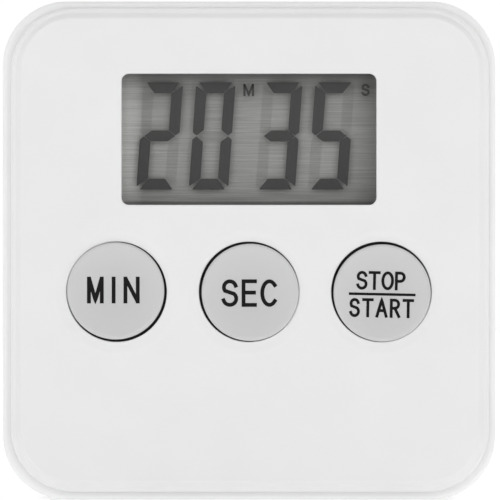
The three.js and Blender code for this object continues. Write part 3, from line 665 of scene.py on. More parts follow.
def stand_recess(skin, lip):
    """The stand's recess and the block that holds it, with the sounder's seat and two posts on the block.

    Returns the recess's loop in the back and the block's loop in the back's inside.
    """
    floor = RECESS_FLOOR
    block = floor - 1.4
    profile = lip + [(0, floor + 0.2), (0.06, floor + 0.06), (0.2, floor)]
    outer, recess_floor = skin.sweep(recess_outline(), profile)
    half = STAND_HALF + GAP + RECESS_WALL
    block_outline = upright(half, RECESS_BOTTOM - RECESS_WALL, NOTCH_TOP + RECESS_WALL, 2.0)
    base, block_face = skin.sweep(block_outline, raised(block))
    holes = [circle(centre, 0.6, 24) for centre in sound_holes()]
    bore = [(-0.12, floor), (-0.03, floor - 0.03), (0, floor - 0.12), (0, block)]
    floor_holes, seat_holes = skin.sweeps(holes, bore)
    skin.fill(recess_floor, *floor_holes)

    disc_low, disc_high = node_box("piezo_disc")
    rest = disc_low.y - 0.4
    seat = [(0, block), (0, rest + 0.1), (0.1, rest), (0.9, rest), (1.0, rest + 0.1),
            (1.0, disc_high.y + 0.05), (2.2, disc_high.y + 0.05), (2.2, block)]
    edge, chamber = skin.sweep(circle(spot("piezo_disc"), disc_high.x + 1.2, 96), seat)
    skin.fill(chamber, *seat_holes)
    end = node_box("circuit_board")[1].y + 0.1
    post = [(0, block), (0, end + 0.1), (0.1, end)]
    skin.fill(block_face, edge, *(skin.cup(circle(centre, POST_RADIUS, 24), post) for centre in POSTS))
    return outer, base


def battery_bay(skin, lip):
    """The bay with the door's seat around it and the trough that holds it.

    Returns the seat's loop in the back and the trough's loop in the back's inside.
    """
    seat_outline = upright(DOOR_HALF + GAP, DOOR_LOW.z - GAP, DOOR_TOP + GAP, 1.6, low_corner=0.15)
    middle = middle_of("battery").z
    bay_outline = upright(BAY_HALF[0], middle - BAY_HALF[1], middle + BAY_HALF[1], 0.8)
    outer, ledge = skin.sweep(seat_outline, lip + [(0, BACK_INSIDE + 0.1), (0.1, BACK_INSIDE)])
    mouth = turn((-0.15, BACK_INSIDE), (0, BACK_INSIDE - 0.15), steps=2)
    mouth += turn((0, BAY_FLOOR + 0.5), (0.5, BAY_FLOOR), "wall")
    skin.fill(ledge, skin.cup(bay_outline, mouth))
    shelf = 4.9
    base, under = skin.sweep(upright(28.2, 2.6, 20.8, 3.5), raised(shelf))
    trough = [(-1.0, shelf), (-1.0, BAY_FLOOR - 0.8), (-0.8, BAY_FLOOR - 1.0)]
    skin.fill(under, skin.cup(bay_outline, trough))
    return outer, base


def rear_case():
    """The rear half of the case: a tub with the stand's recess, the battery bay and pockets."""
    skin = Skin()
    edge = turn((1.4, CASE_BACK), (0, CASE_BACK - 1.4), steps=8)
    rim = turn((0, RIM_FRONT + 0.7), (0.6, RIM_FRONT), "wall", 6)
    back, rim_outside = skin.sweep(CASE_OUTLINE, edge + rim)
    seam = turn((RIM - 0.12, RIM_FRONT), (RIM, RIM_FRONT + 0.12), steps=3) + [(RIM, LEDGE)]
    rim_inside, ledge = skin.sweep(COVER_OUTLINE, seam)
    tub = [(TUB_WALL, LEDGE)] + turn((TUB_WALL, BACK_INSIDE - 0.2), (TUB_WALL + 0.2, BACK_INSIDE), "wall", 2)
    wall, inside = skin.sweep(CASE_OUTLINE, tub)
    skin.fill(rim_outside, rim_inside)
    skin.fill(ledge, wall)

    lip = turn((-0.16, CASE_BACK), (0, CASE_BACK - 0.16), steps=3)
    back_holes, inside_holes = map(list, zip(stand_recess(skin, lip), battery_bay(skin, lip)))
    for node in MAGNETS:
        low, high = node_box(node)
        pocket = circle(spot(node), (high.x - low.x) / 2 + 0.15, 96)
        back_holes.append(skin.cup(pocket, lip + [(0, low.y), (0.1, low.y - 0.1)]))
    seat, end = 3.9, 1.1  # depths of a case screw's head and of its bore's end
    bore = lip + [(0, seat), (0.85, seat), (0.85, end), (-0.4, end),
                  (-0.4, BACK_INSIDE - 0.1), (-0.5, BACK_INSIDE)]
    outer, inner = skin.sweeps([circle(spot(node), 2.2, 48) for node in SCREWS_CASE], bore)
    skin.fill(back, *back_holes, *outer)
    skin.fill(inside, *inside_holes, *inner)

    notch = [(-0.5, CASE_BACK + 0.4), (-0.16, CASE_BACK)] + turn((-0.16, CASE_BACK), (0, CASE_BACK - 0.16))
    notch += [(0, THUMB_FLOOR + 0.1), (0.1, THUMB_FLOOR)]
    sockets = [
        bar((-STAND_HIGH.x - 0.15, STAND_HIGH.x + 0.15), 0.9, STAND_PIVOT.y, STAND_PIVOT.z),
        bar((-DOOR_HIGH.x - 0.1, DOOR_HIGH.x + 0.1), 0.5, DOOR_PIVOT.y, DOOR_PIVOT.z),
        Skin().plug(circle((0, THUMB_HEIGHT), THUMB_RADIUS, 96), notch),
    ]
    place("rear_case", combined(skin, sockets, "DIFFERENCE"), WHITE_BACK, ["rear_shell"])


front_cover()
rear_case()


# ---- display

def place_clear(name, shape, finish, nodes=()):
    """A clear piece that lets light reach what lies behind it without counting its surfaces."""
    piece = place(name, shape, finish, nodes)
    piece.visible_shadow = False
    piece.visible_diffuse = False


def display_layers():
    """The window, the polariser, the cell of two glasses with a ledge below, and the silvery film."""
    place_clear("display_window", node_plate("lcd_window", 1.2, 0.1, 8), LENS_CLEAR, ["lcd_window"])
    place_clear("lcd_polariser_sheet", node_plate("lcd_polariser", 0.3, 0.04), CELL_GLASS, ["lcd_polariser"])
    skin = Skin()
    (low, high), (rear_low, rear_high) = node_box("lcd_front_glass"), node_box("lcd_rear_glass")
    cell = rounded_rect((low.x, rear_low.z), (high.x, high.z), 0.2, 4)
    front, shelf = skin.sweep(around(low, high, 0.2, 4), [(0.04, low.y), (0, low.y + 0.04), (0, high.y)])
    step, back = skin.sweep(cell, [(0.001, high.y), (0.001, rear_high.y - 0.04), (0.04, rear_high.y)])
    skin.fill(front)
    skin.fill(shelf, step)
    skin.fill(back)
    place_clear("display_cell", skin, CELL_GLASS, ["lcd_front_glass", "lcd_rear_glass"])
    place("lcd_reflector_sheet", node_plate("lcd_reflector", 0.3, 0.04), FILM, ["lcd_reflector"])


DIGIT_HEIGHT = 14.15
DIGIT_WIDTH = 5.2
DIGIT_STROKE = 1.44
DIGIT_BOTTOM = WINDOW_MIDDLE[1] - WINDOW_HEIGHT / 2 + 2.05
DIGIT_LEFTS = (-14.88, -7.95, 0.88, 7.76)
SLANT = math.tan(math.radians(4))
SEGMENT_GAP = 0.055
SEGMENT_CUT = 0.36  # how much of each mitre's outer tip is cut off
SEGMENT_CORNER = 0.07
LIT = {"2": "abged", "0": "abcdef", "3": "abgcd", "5": "afgcd"}
UNIT_MARKS = (("M", -0.04, 1.38), ("S", 15.37, 1.18))  # letter, place and stretch
UNIT_MARK_HEIGHT = 54.1


def segment_outlines():
    """The seven bars of a digit, each as corners in the digit's own frame, before its slant."""
    w, h, t, g, cut = DIGIT_WIDTH, DIGIT_HEIGHT, DIGIT_STROKE, SEGMENT_GAP, SEGMENT_CUT
    m = h / 2
    top = [(t + g, h - t), (w - t - g, h - t), (w - cut - g, h), (cut + g, h)]
    left = [(0, h - cut - g), (0, m + t * 0.3 + g), (t * 0.35, m + g), (t, m + t * 0.5 + g), (t, h - t - g)]
    middle = [(t + g, m - t / 2), (w - t - g, m - t / 2), (w - t * 0.35 - g, m),
              (w - t - g, m + t / 2), (t + g, m + t / 2), (t * 0.35 + g, m)]

    def flip_x(points):
        return [(w - x, z) for x, z in points][::-1]

    def flip_z(points):
        return [(x, h - z) for x, z in points][::-1]

    return {"a": top, "f": left, "b": flip_x(left), "g": middle, "d": flip_z(top),
            "e": flip_z(left), "c": flip_z(flip_x(left))}


def display_picture(lit, front, back):
    """The bars of the four digits that are dark, or those that are faint."""
    skin = Skin()
    for digit, left in zip("2035", DIGIT_LEFTS):
        for name, corners in segment_outlines().items():
            if (name in LIT[digit]) == lit:
                placed = [(left + x + SLANT * z, DIGIT_BOTTOM + z, SEGMENT_CORNER) for x, z in corners]
                skin.plug(filleted(placed, 3), [(0, front), (0, back)])
    return skin


# ---- lettering

def arc(centre, radii, start, end, steps=10):
    """Points of an elliptical arc, from one angle to another in degrees."""
    turns = [math.radians(start + (end - start) * i / steps) for i in range(steps + 1)]
    return [(centre[0] + radii[0] * math.cos(t), centre[1] + radii[1] * math.sin(t)) for t in turns]


# Single-line capitals, one unit high: width, then strokes. A stroke that closes on itself is a ring.
LETTERS = {
    "M": (0.62, [[(0, 0), (0, 1)], [(0.62, 0), (0.62, 1)], [(0.03, 0.95), (0.31, 0.06), (0.59, 0.95)]]),
    "I": (0.0, [[(0, 0), (0, 1)]]),
    "N": (0.6, [[(0, 0), (0, 1)], [(0.6, 0), (0.6, 1)], [(0.03, 0.97), (0.57, 0.03)]]),
    "E": (0.46, [[(0.46, 1), (0, 1), (0, 0), (0.46, 0)], [(0, 0.52), (0.42, 0.52)]]),
    "T": (0.56, [[(0, 1), (0.56, 1)], [(0.28, 1), (0.28, 0)]]),
    "A": (0.6, [[(0, 0), (0.3, 1), (0.6, 0)], [(0.11, 0.34), (0.49, 0.34)]]),
    "S": (0.52, [arc((0.26, 0.745), (0.24, 0.255), 15, 215, 12)
                 + arc((0.26, 0.265), (0.26, 0.265), 50, -165, 12)]),
    "C": (0.54, [arc((0.29, 0.5), (0.29, 0.5), 42, 318, 20)]),
    "O": (0.6, [arc((0.3, 0.5), (0.3, 0.5), 90, 450, 28)]),
    "P": (0.48, [[(0, 0), (0, 1), (0.24, 1)] + arc((0.24, 0.74), (0.24, 0.26), 90, -90) + [(0, 0.48)]]),
    "R": (0.5, [[(0, 0), (0, 1), (0.24, 1)] + arc((0.24, 0.75), (0.24, 0.25), 90, -90) + [(0, 0.5)],
                [(0.24, 0.5), (0.5, 0)]]),
}


def resampled(points, step):
    """The same line with a point at least every step."""
    result = [points[0]]
    for start, end in zip(points, points[1:]):
        count = max(1, math.ceil(math.dist(start, end) / step))
        result += [between(start, end, k / count) for k in range(1, count + 1)]
    return result


def overshot(start, end, reach):
    """The end of a line, moved further on by a reach."""
    return between(start, end, 1 + reach / math.dist(start, end))


def ribbon(skin, points, width, surface, thickness):
    """A flat printed stroke along a line, laid on a surface given as a depth at (x, z)."""
    closed = math.dist(points[0], points[-1]) < 1e-6
    if not closed:
        points = [overshot(points[1], points[0], width / 2), *points[1:-1],
                  overshot(points[-2], points[-1], width / 2)]
    points = resampled(points, 0.25)
    if closed:
        points = points[:-1]
    count = len(points)
    rows = []
    for i, (x, z) in enumerate(points):
        previous = points[i - 1] if i or closed else points[i]
        following = points[(i + 1) % count] if i < count - 1 or closed else points[i]
        arrive = Vector((x - previous[0], z - previous[1]))
        leave = Vector((following[0] - x, following[1] - z))
        arrive = (arrive if arrive.length else leave).normalized()
        leave = (leave if leave.length else arrive).normalized()
        across = Vector((-arrive.y - leave.y, arrive.x + leave.x)).normalized()
        reach = width / 2 / max(across.dot(Vector((-leave.y, leave.x))), 0.45)
        first = len(skin.points)
        for side in (1, -1):
            px, pz = x + across.x * reach * side, z + across.y * reach * side
            depth = surface(px, pz)
            skin.points += [(px, depth - thickness, pz), (px, depth + thickness, pz)]
        rows.append((first, first + 2, first + 3, first + 1))
    pairs = list(zip(rows, rows[1:]))
    if closed:
        pairs.append((rows[-1], rows[0]))
    else:
        skin.faces += [rows[0], rows[-1]]
    for a, b in pairs:
        skin.faces += [(a[k], a[(k + 1) % 4], b[(k + 1) % 4], b[k]) for k in range(4)]


def write(skin, text, centre, height, stroke, spacing, surface, thickness, stretch=1.0, tilt=0.0):
    """Prints a word centred at (x, z). Height and spacing are of the strokes' middles."""
    widths = [LETTERS[c][0] * height * stretch for c in text]
    left = -(sum(widths) + spacing * (len(text) - 1)) / 2
    turned = Matrix.Rotation(tilt, 2)
    for c, width in zip(text, widths):
        for line in LETTERS[c][1]:
            placed = [turned @ Vector((left + x * height * stretch, (z - 0.5) * height)) for x, z in line]
            ribbon(skin, [(centre[0] + p.x, centre[1] + p.y) for p in placed], stroke, surface, thickness)
        left += width + spacing


def display_marks():
    """The dark and the faint parts of the picture, between the cell's two glasses."""
    front = node_box("lcd_front_glass")[1].y + 0.012
    back = node_box("lcd_rear_glass")[0].y - 0.012
    place("display_digits", display_picture(True, front, back), SEGMENT)
    place_clear("display_faint_segments", display_picture(False, front, back), GHOST)
    middle = (front + back) / 2
    small = Skin()
    for letter, x, stretch in UNIT_MARKS:
        write(small, letter, (x, UNIT_MARK_HEIGHT), 1.32, 0.3, 0, lambda px, pz: middle, 0.012, stretch)
    place("display_unit_marks", small, SEGMENT)


display_layers()
display_marks()


# ---- keys

KEY_RIM = KEY_RADIUS - 0.35
KEY_DISH_DEPTH = KEY_DISH_RADIUS - math.sqrt(KEY_DISH_RADIUS**2 - KEY_RIM**2)
KEY_RINGS = 24  # of the dished face's mesh
RULE_TILT = math.radians(-1.2)


def key_centre(key):
    x, z = hole_centre(key)
    return (x + KEY_SHIFT[key][0], z + KEY_SHIFT[key][1])


def dish_depth(front, radius):
    """Depth of a key's hollow face at a distance from its middle."""
    reach = min(radius, KEY_RIM)
    return front + KEY_DISH_DEPTH - (KEY_DISH_RADIUS - math.sqrt(KEY_DISH_RADIUS**2 - reach**2))


def key_cap(key):
    low, high = node_box(f"button_{key}")
    front, back = low.y, high.y
    flange = FRONT_INSIDE + 0.05
    radii = [0.25 + (KEY_RIM - 0.25) * i / (KEY_RINGS - 1) for i in range(KEY_RINGS)]
    profile = [(KEY_RADIUS - radius, dish_depth(front, radius)) for radius in radii]
    profile += turn((0.3, front + 0.012), (0, front + 0.35), steps=5)
    out = KEY_RADIUS - KEY_FLANGE
    stem, wall = KEY_RADIUS - 4.9, KEY_RADIUS - 1.6
    roof = front + KEY_DISH_DEPTH + 1.3
    profile += [(0, flange), (out + 0.1, flange), (out, flange + 0.1), (out, flange + 0.85),
                (out + 0.1, flange + 0.95), (stem, flange + 0.95),
                (stem, roof), (wall, roof), (wall, back - 0.1), (wall + 0.1, back)]
    skin = Skin().plug(circle(key_centre(key), KEY_RADIUS, 128), profile)
    x, z = hole_centre(key)
    keyway = rounded_rect((x - 0.75, z + 6.6), (x + 0.75, z + 9), 0.2, 2)
    notch = Skin().plug(keyway, [(0, flange - 0.1), (0, flange + 2)])
    finish = key_plastic(key, key_centre(key))
    place(f"key_cap_{key}", combined(skin, [notch], "DIFFERENCE"), finish, [f"button_{key}"], f"key_{key}")


def key_legend(key, lines, rule=None):
    """The printed words on a key. Each line is (word, x, z, height, stroke, spacing, stretch)."""
    front = node_box(f"button_{key}")[0].y
    centre = key_centre(key)

    def surface(x, z):
        return dish_depth(front, math.hypot(x - centre[0], z - centre[1]))

    skin = Skin()
    tilt = RULE_TILT if rule else 0.0
    for word, x, z, height, stroke, spacing, stretch in lines:
        middle = (centre[0] + x, centre[1] + z)
        write(skin, word, middle, height, stroke, spacing, surface, PRINT, stretch, tilt)
    if rule:
        half, z, stroke = rule
        ends = [(centre[0] + x, centre[1] + z + x * math.tan(tilt)) for x in (-half, half)]
        ribbon(skin, ends, stroke, surface, PRINT)
    place(f"key_legend_{key}", skin, INK, body=f"key_{key}")


for key_name in KEYS:
    key_cap(key_name)
key_legend("min", [("MIN", -0.3, 0.1, 3.0, 0.5, 1.55, 0.9)])
key_legend("sec", [("SEC", -0.1, -0.1, 3.1, 0.5, 0.95, 1.05)])
key_legend("start_stop", [("STOP", -0.15, 1.61, 2.08, 0.38, 0.5, 1.02),
                          ("START", -0.08, -1.98, 2.12, 0.38, 0.66, 0.94)], rule=(4.2, -0.18, 0.34))


# ---- back

def folding_stand():
    """The fold-out leg: a flap with three hollows inside, a round pivot edge and two pins."""
    low, high = STAND_LOW, STAND_HIGH
    pivot = STAND_PIVOT
    skin = Skin()
    flap = upright(STAND_HALF, pivot.z, STAND_TOP, 4.0, 12, 0.4)
    inner, outer = skin.sweep(flap, soft_slab(low.y, high.y, 0.3, 3, 3))
    skin.fill(outer)
    rim, rib = 2.0, 1.0
    panel = (2 * STAND_HALF - 2 * rim - 2 * rib) / 3
    lefts = [-STAND_HALF + rim + i * (panel + rib) for i in range(3)]
    hollow = [(-0.1, low.y), (0, low.y + 0.1), (0, pivot.y - 0.2), (0.2, pivot.y)]
    pockets = [rounded_rect((x, pivot.z + 3), (x + panel, STAND_TOP - 4), 1.0) for x in lefts]
    skin.fill(inner, *(skin.cup(pocket, hollow) for pocket in pockets))
    pins = [bar((-STAND_HALF, STAND_HALF), (high.y - low.y) / 2, pivot.y, pivot.z, 48),
            bar((-high.x, high.x), 0.75, pivot.y, pivot.z)]
    place("folding_stand", combined(skin, pins, "UNION"), WHITE_BACK, ["stand"], "stand")


def battery_cover():
    """The battery door: a plate with a thumb dish and a latch nib, two ribs inside and two pins below."""
    inside, outside = CASE_BACK - 1.4, CASE_BACK
    pivot = DOOR_PIVOT
    skin = Skin()
    door = upright(DOOR_HALF, pivot.z - 0.02, DOOR_TOP, 1.4, low_corner=0.3)
    inner, outer = skin.sweep(door, soft_slab(inside, outside, 0.2, 2, 3))
    skin.fill(inner)
    dish = outside - 0.8
    hollow = turn((-0.2, outside), (0, outside - 0.2), steps=3)
    hollow += turn((0, dish + 0.25), (0.25, dish), "wall", 3)
    rim, floor = skin.sweep(upright(6.5, DOOR_TOP - 4.6, DOOR_TOP - 1.0, 1.75, 10), hollow)
    skin.fill(outer, rim)
    heights = [DOOR_TOP - 2.8 + i * 0.95 for i in (-1, 0, 1)]
    crest = [(0, dish), (0, dish + 0.3), (0.08, dish + 0.38)]
    skin.fill(floor, *(skin.cup(upright(4.6, z - 0.16, z + 0.16, 0.15, 4), crest) for z in heights))
    additions = [bar((-DOOR_HALF + 1, DOOR_HALF - 1), 0.74, pivot.y, pivot.z),
                 bar((-DOOR_HIGH.x, DOOR_HIGH.x), 0.4, pivot.y, pivot.z, 24)]
    rib = [(0.1, pivot.y - 2.65), (0, pivot.y - 2.55), (0, inside + 0.3)]
    for z in (pivot.z + 1.8, pivot.z + 10.9):
        additions.append(Skin().plug(upright(19, z, z + 0.8, 0.2, 3), rib))
    nib = [(0, inside + 0.02), (0, inside + 0.42), (0.08, inside + 0.5)]
    additions.append(Skin().plug(upright(4, DOOR_TOP - 1, DOOR_TOP + 0.22, 0.15, 4), nib))
    mesh = combined(skin, additions, "UNION")
    place("battery_cover", mesh, WHITE_BACK, ["battery_door"], "battery_door")


def screw_mesh(head, height, shank, length):
    """A pan-head screw pointing along -Y, its head's underside at depth 0."""
    pitch, rise = 0.7, 0.22
    core, root = head - shank, head - shank + rise
    thread = []
    for i in range(int((length - shank) / pitch)):
        y = -0.3 - i * pitch
        thread += [(core, y), (root, y - pitch * 0.35), (root, y - pitch * 0.65)]
    profile = [(head - 0.15, -length), (root, -length + shank)] + thread[::-1]
    profile += [(core, 0), (0.08, 0), (0, 0.08), (0, height * 0.45)]
    profile += turn((0, height * 0.45), (head * 0.45, height), "wall", 6)[1:]
    arm, half = head * 0.6, head * 0.12
    deep = [(0.12, height * 0.4), (0, height + 1)]
    recess = [Skin().plug(upright(x, -z, z, half * 0.9, 4), deep) for x, z in ((arm, half), (half, arm))]
    return combined(Skin().plug(circle((0, 0), head, 48), profile), recess, "DIFFERENCE")


def screws(nodes, head, height, shank, length):
    model = screw_mesh(head, height, shank, length)
    for i, node in enumerate(nodes):
        mesh = model.copy()
        seat = Vector((middle_of(node).x, node_box(node)[1].y - height, middle_of(node).z))
        mesh.transform(Matrix.Translation(seat * MM) @ Matrix.Rotation(0.4 + 0.9 * i, 4, "Y"))
        place(f"{node}_body", mesh, STEEL, [node])


folding_stand()
battery_cover()
for magnet in MAGNETS:
    place(f"{magnet}_disc", node_disc(magnet, 128, 0.2), NICKEL, [magnet])
screws(SCREWS_CASE, 2.0, 1.4, 1.1, 7.4)
screws(SCREWS_BOARD, 1.8, 1.1, 0.9, 4.6)


# ---- inside

def wire(name, points, finish, node):
    """A round wire through points in millimetres."""
    curve = bpy.data.curves.new(name, "CURVE")
    curve.dimensions = "3D"
    curve.bevel_depth = WIRE_RADIUS * MM
    curve.bevel_resolution = 4
    curve.use_fill_caps = True
    curve.resolution_u = 8
    spline = curve.splines.new("BEZIER")
    spline.bezier_points.add(len(points) - 1)
    for knot, point in zip(spline.bezier_points, points):
        knot.co = Vector(point) * MM
        knot.handle_left_type = knot.handle_right_type = "AUTO"
    tie(add(name, curve), "case", finish, [node])


def battery():
    """The cell, with its raised cap towards +X and a flat end towards -X."""
    low, high = node_box("battery")
    centre = middle_of("battery")
    radius = (high.z - low.z) / 2
    shoulder = high.x - 0.85
    profile = [(radius - 0.3, low.x + 0.15), (1.4, low.x + 0.15), (1.3, low.x + 0.3), (0.9, low.x + 0.3)]
    profile += turn((0.7, low.x), (0, low.x + 0.6), steps=5)
    profile += turn((0, high.x - 1.4), (0.6, shoulder), "wall", 5)
    profile += [(1.2, shoulder), (1.3, shoulder - 0.1), (radius - 2.2, shoulder - 0.1),
                (radius - 1.95, shoulder + 0.05)]
    profile += turn((radius - 1.9, high.x - 0.3), (radius - 1.6, high.x), "wall", 4)
    profile += [(radius - 0.2, high.x)]
    cell = Skin().plug(circle((0, 0), radius, 96), profile)
    cell.moved(Matrix.Translation((0, centre.y, centre.z)) @ ALONG_X)
    place("battery_cell", cell, JACKET, ["battery"])


def contact(node):
    """A contact sheet across the bay's end, with a narrow tab above it that takes the lead."""
    low, high = node_box(node)
    top = low.z + high.y - low.y  # the sheet is square
    tab_front, tab_back = 0.2, 1.8
    shape = filleted([(low.y, low.z, 0.6), (high.y, low.z, 0.6), (high.y, top, 0.6),
                      (tab_back, top, 0.3), (tab_back, high.z, 0.3), (tab_front, high.z, 0.3),
                      (tab_front, top, 0.3), (low.y, top, 0.6)], 4)
    sheet = Skin().plug(shape, slab(low.x, high.x, 0.08))
    swap_x_and_y = Matrix(((0, 1, 0, 0), (1, 0, 0, 0), (0, 0, 1, 0), (0, 0, 0, 1)))
    place(f"{node}_plate", sheet.moved(swap_x_and_y), NICKEL, [node])


def battery_spring():
    """A spring that narrows from the contact towards the cell."""
    low, high = node_box("battery_spring")
    centre = middle_of("battery")
    turns, steps = 4, 12
    wide, narrow = 3.6, 2.3
    start, end = low.x + WIRE_RADIUS, high.x - WIRE_RADIUS
    coil = []
    for i in range(turns * steps + 1):
        share = i / (turns * steps)
        angle = share * turns * 2 * math.pi
        reach = wide + (narrow - wide) * share
        coil.append((start + (end - start) * share, centre.y + reach * math.cos(angle),
                     centre.z + reach * math.sin(angle)))
    wire("battery_spring_coil", coil, NICKEL, "battery_spring")


def leads():
    """The cell's two leads, which mirror each other, and the sounder's two."""
    lead = [(25.2, 1.1, 19.2), (23.6, 1.3, 19.6), (21.4, 0.9, 21.2), (20.6, -0.2, 22.4)]
    wire("battery_lead_red", lead, RED, "battery_wire_red")
    wire("battery_lead_black", [(-x, y, z) for x, y, z in lead], BLACK_WIRE, "battery_wire_black")
    wire("sounder_lead_red", [(3, 2.45, 39.6), (3.5, 1.5, 39.0), (5.8, 0.8, 36.8), (6.6, -0.3, 35.6)],
         RED, "piezo_wire_red")
    wire("sounder_lead_black", [(-6.4, 2.7, 36.7), (-6.6, 1.6, 36.2), (-7.6, 0.7, 34.9), (-8.0, -0.3, 34.2)],
         BLACK_WIRE, "piezo_wire_black")


def circuit_board():
    """The board, narrower at both ends, with four screw holes."""
    low, high = node_box("circuit_board")
    right = [(24.0, 19.6), (24.0, 27.4), (25.8, 27.4), (25.8, 56.6), (22.8, 56.6), (22.8, 59.6)]
    corners = [(x, z, 0.4) for x, z in right] + [(-x, z, 0.4) for x, z in reversed(right)]
    profile = slab(low.y, high.y, 0.06)
    holes = [circle(spot(node), 1.15, 32) for node in SCREWS_BOARD]
    board = Skin().plug(filleted(corners, 4), profile, holes, profile)
    place("circuit_board_plate", board, BOARD, ["circuit_board"])


def board_parts():
    """The chip under its drop of epoxy, the crystal's can and the small chips."""
    low, high = node_box("chip_blob")
    radius = (high.x - low.x) / 2
    dome = [(0, low.y)] + turn((0, low.y), (radius - 0.1, high.y), "wall", 14)[1:]
    place("chip_blob_dome", Skin().plug(circle(spot("chip_blob"), radius), dome), EPOXY, ["chip_blob"])
    low, high = node_box("crystal")
    centre = middle_of("crystal")
    can = bar((low.x, high.x), (high.z - low.z) / 2, centre.y, centre.z, 48, 0.2)
    place("crystal_can", can, NICKEL, ["crystal"])
    for kind, count, finish in (("capacitor", 3, CHIP_CERAMIC), ("resistor", 2, EPOXY)):
        for node in (f"{kind}_{i + 1}" for i in range(count)):
            place(f"{node}_chip", node_plate(node, 0.12, 0.08), finish, [node])


def display_holder():
    """The frame that holds the display over the board, and the contact strip in it."""
    low, high = node_box("lcd_frame")
    shelf = node_box("lcd_reflector")[1].y + 0.05
    skin = Skin()
    front, back = skin.sweep(around(low, high, 0.5, 4), slab(low.y, high.y, 0.1))
    pocket = around(*node_box("lcd_front_glass"), 0.2, 3, 0.1)
    mouth, floor = skin.sweep(pocket, [(-0.08, low.y), (0, low.y + 0.08), (0, shelf)])
    skin.fill(front, mouth)
    openings = [upright(14, 41.5, 55.5, 1.0, 5), around(*node_box("zebra_strip"), 0.1, 2, 0.1)]
    fronts, backs = skin.sweeps(openings, [(0, shelf), (0, high.y)])
    skin.fill(floor, *fronts)
    skin.fill(back, *backs)
    place("display_holder", skin, BLACK, ["lcd_frame"])
    place("contact_strip", node_plate("zebra_strip", 0.1, 0.05), CARBON, ["zebra_strip"])


def keypad_dome(key, mat_front):
    """A sprung dome of the mat, and the pill under it."""
    node, joint, pill = f"keypad_dome_{key}", f"press_{key}", f"contact_pill_{key}"
    low, high = node_box(node)
    outer = (high.x - low.x) / 2
    crown = outer - 2.2
    pill_front = node_box(pill)[0].y
    profile = [(outer - 0.2, low.y)] + turn((outer - 2.0, low.y), (crown - 0.1, low.y + 0.3), steps=3)
    profile += [(crown - 0.1, pill_front - 0.5)] + ease((crown, pill_front - 0.4), (0, mat_front), 6)
    profile += [(0, high.y), (0.8, high.y), (0.8, mat_front + 0.4)]
    profile += ease((0.9, mat_front + 0.35), (crown, pill_front - 0.05), 6)
    profile += [(outer - 0.2, pill_front - 0.05)]
    dome = Skin().plug(circle(spot(node), outer), profile)
    piece = place(f"rubber_dome_{key}", dome, SILICONE, [node])
    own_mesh(piece)
    place(f"carbon_pill_{key}", node_disc(pill, 48, 0.05), CARBON, [pill], f"key_{key}")


def keypad():
    """The silicone mat with its holes, and the domes and pills in them."""
    low, high = node_box("keypad_mat")
    holes = []
    for key in KEYS:
        dome_low, dome_high = node_box(f"keypad_dome_{key}")
        holes.append(circle(spot(f"keypad_dome_{key}"), (dome_high.x - dome_low.x) / 2 + 0.1))
        keypad_dome(key, low.y)
    profile = [(0.1, low.y), (0, low.y + 0.1), (0, high.y)]
    mat = Skin().plug(around(low, high, 1.0, 5), profile, holes, [(0, low.y), (0, high.y)])
    place("keypad_sheet", mat, SILICONE, ["keypad_mat"])


battery()
for contact_node in ("negative_contact", "positive_contact"):
    contact(contact_node)
battery_spring()
leads()
place("sounder_disc", node_disc("piezo_disc", 96, 0.05), BRASS, ["piezo_disc"])
place("sounder_ceramic", node_disc("piezo_ceramic", 96, 0.05), SOUNDER_CERAMIC, ["piezo_ceramic"])
circuit_board()
board_parts()
display_holder()
keypad()


# ---- studio

VIEW_WIDTH = 65.9  # width of the picture at the case's rim
VIEW_CENTRE = (0.13, 32.98)
LENS = 220.0
SENSOR = 36.0
FLOOR_RADIUS = 900
CAMERA_SKY = 1.02  # how bright the sky looks
# The sky's light along an axis: dim overhead, dark straight before the display, bright beside it.
SKY_BY_HEIGHT = ((-1.0, 0.93), (0.1, 0.93), (0.45, 0.85), (0.9, 0.72))
SKY_BY_DEPTH = ((-1.0, 0.25), (-0.95, 0.25), (-0.9, 2.1), (-0.78, 2.1), (-0.7, 0.65), (0.0, 0.6),
                (0.08, 1.45), (0.5, 1.45), (0.75, 0.5), (1.0, 0.5))


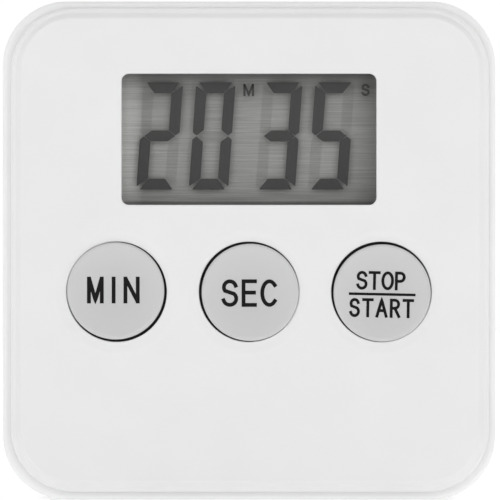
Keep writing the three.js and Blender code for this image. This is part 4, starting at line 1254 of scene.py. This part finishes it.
def sky():
    """A sky that looks plain white, and whose light differs by direction."""
    world = bpy.data.worlds.new("studio")
    world.use_nodes = True
    tree = world.node_tree
    direction = add_node(tree, "TexCoord", {}, "Generated")
    light = 4.0  # each of the two ramps gives half its level
    for axis, stops in (("Z", SKY_BY_HEIGHT), ("Y", SKY_BY_DEPTH)):
        reach = add_node(tree, "SeparateXYZ", {0: direction}, axis)
        share = add_node(tree, "MapRange", {"Value": reach, "From Min": -1.0}, "Result")
        shade = add_ramp(tree, share, [((place_on_axis + 1) / 2, level) for place_on_axis, level in stops])
        light = add_node(tree, "Math", {0: light, 1: shade}, operation="MULTIPLY")
    seen = add_node(tree, "LightPath", {}, "Is Camera Ray")
    strength = add_node(tree, "Mix", {"Factor": seen, 2: light, 3: CAMERA_SKY})
    background = tree.nodes["Background"].inputs
    background["Color"].default_value = (1, 1, 1, 1)
    tree.links.new(strength, background["Strength"])
    bpy.context.scene.world = world


def add_light(name, location, size, power):
    """A soft box that faces the timer."""
    light = bpy.data.lights.new(name, "AREA")
    light.shape = "RECTANGLE"
    light.size, light.size_y = size
    light.energy = power
    lamp = add(name, light)
    lamp.location = location
    middle = Vector((0, 0, CASE_HIGH.z / 2 * MM))
    lamp.rotation_euler = (middle - lamp.location).to_track_quat("-Z", "Y").to_euler()


def add_floor():
    """A plain white floor that is clear from below."""
    finish = Finish("studio_floor", grey(0.9), 0.7, Emission_Color=(1, 1, 1, 1), Emission_Strength=0.3)
    finish.link(Base_Color=finish.mottled(finish.noise(60.0), grey(0.89), grey(0.91)),
                Normal=finish.bump(finish.noise(2.0), 0.01))
    from_below = finish.node("NewGeometry", {}, "Backfacing")
    finish.shared(from_below, finish.shader.outputs[0], finish.node("BsdfTransparent", {}))
    disc = Skin()
    disc.fill(disc.loop(circle((0, 0), FLOOR_RADIUS, 96), 0, 0))
    mesh = disc.mesh("floor")
    mesh.transform(Matrix.Rotation(math.pi / 2, 4, "X"))
    if mesh.polygons[0].normal.z < 0:
        mesh.flip_normals()
    mesh.materials.append(finish.material)
    add("floor", mesh)


def add_camera():
    camera = bpy.data.cameras.new("camera")
    camera.lens = LENS
    camera.sensor_width = SENSOR
    camera.clip_start = 0.01
    camera.clip_end = 10
    viewer = add("camera", camera)
    distance = VIEW_WIDTH * LENS / SENSOR
    viewer.location = Vector((VIEW_CENTRE[0], RIM_FRONT - distance, VIEW_CENTRE[1])) * MM
    viewer.rotation_euler = (math.pi / 2, 0, 0)
    bpy.context.scene.camera = viewer


bpy.context.scene.view_settings.view_transform = "Standard"
sky()
for side, name in ((-1, "left_softbox"), (1, "right_softbox")):
    add_light(name, (0.3 * side, -0.34, 0.06), (0.16, 0.3), 0.1)
add_light("back_softbox", (0.25, 0.5, 0.45), (0.4, 0.3), 0.5)
add_floor()
add_camera()
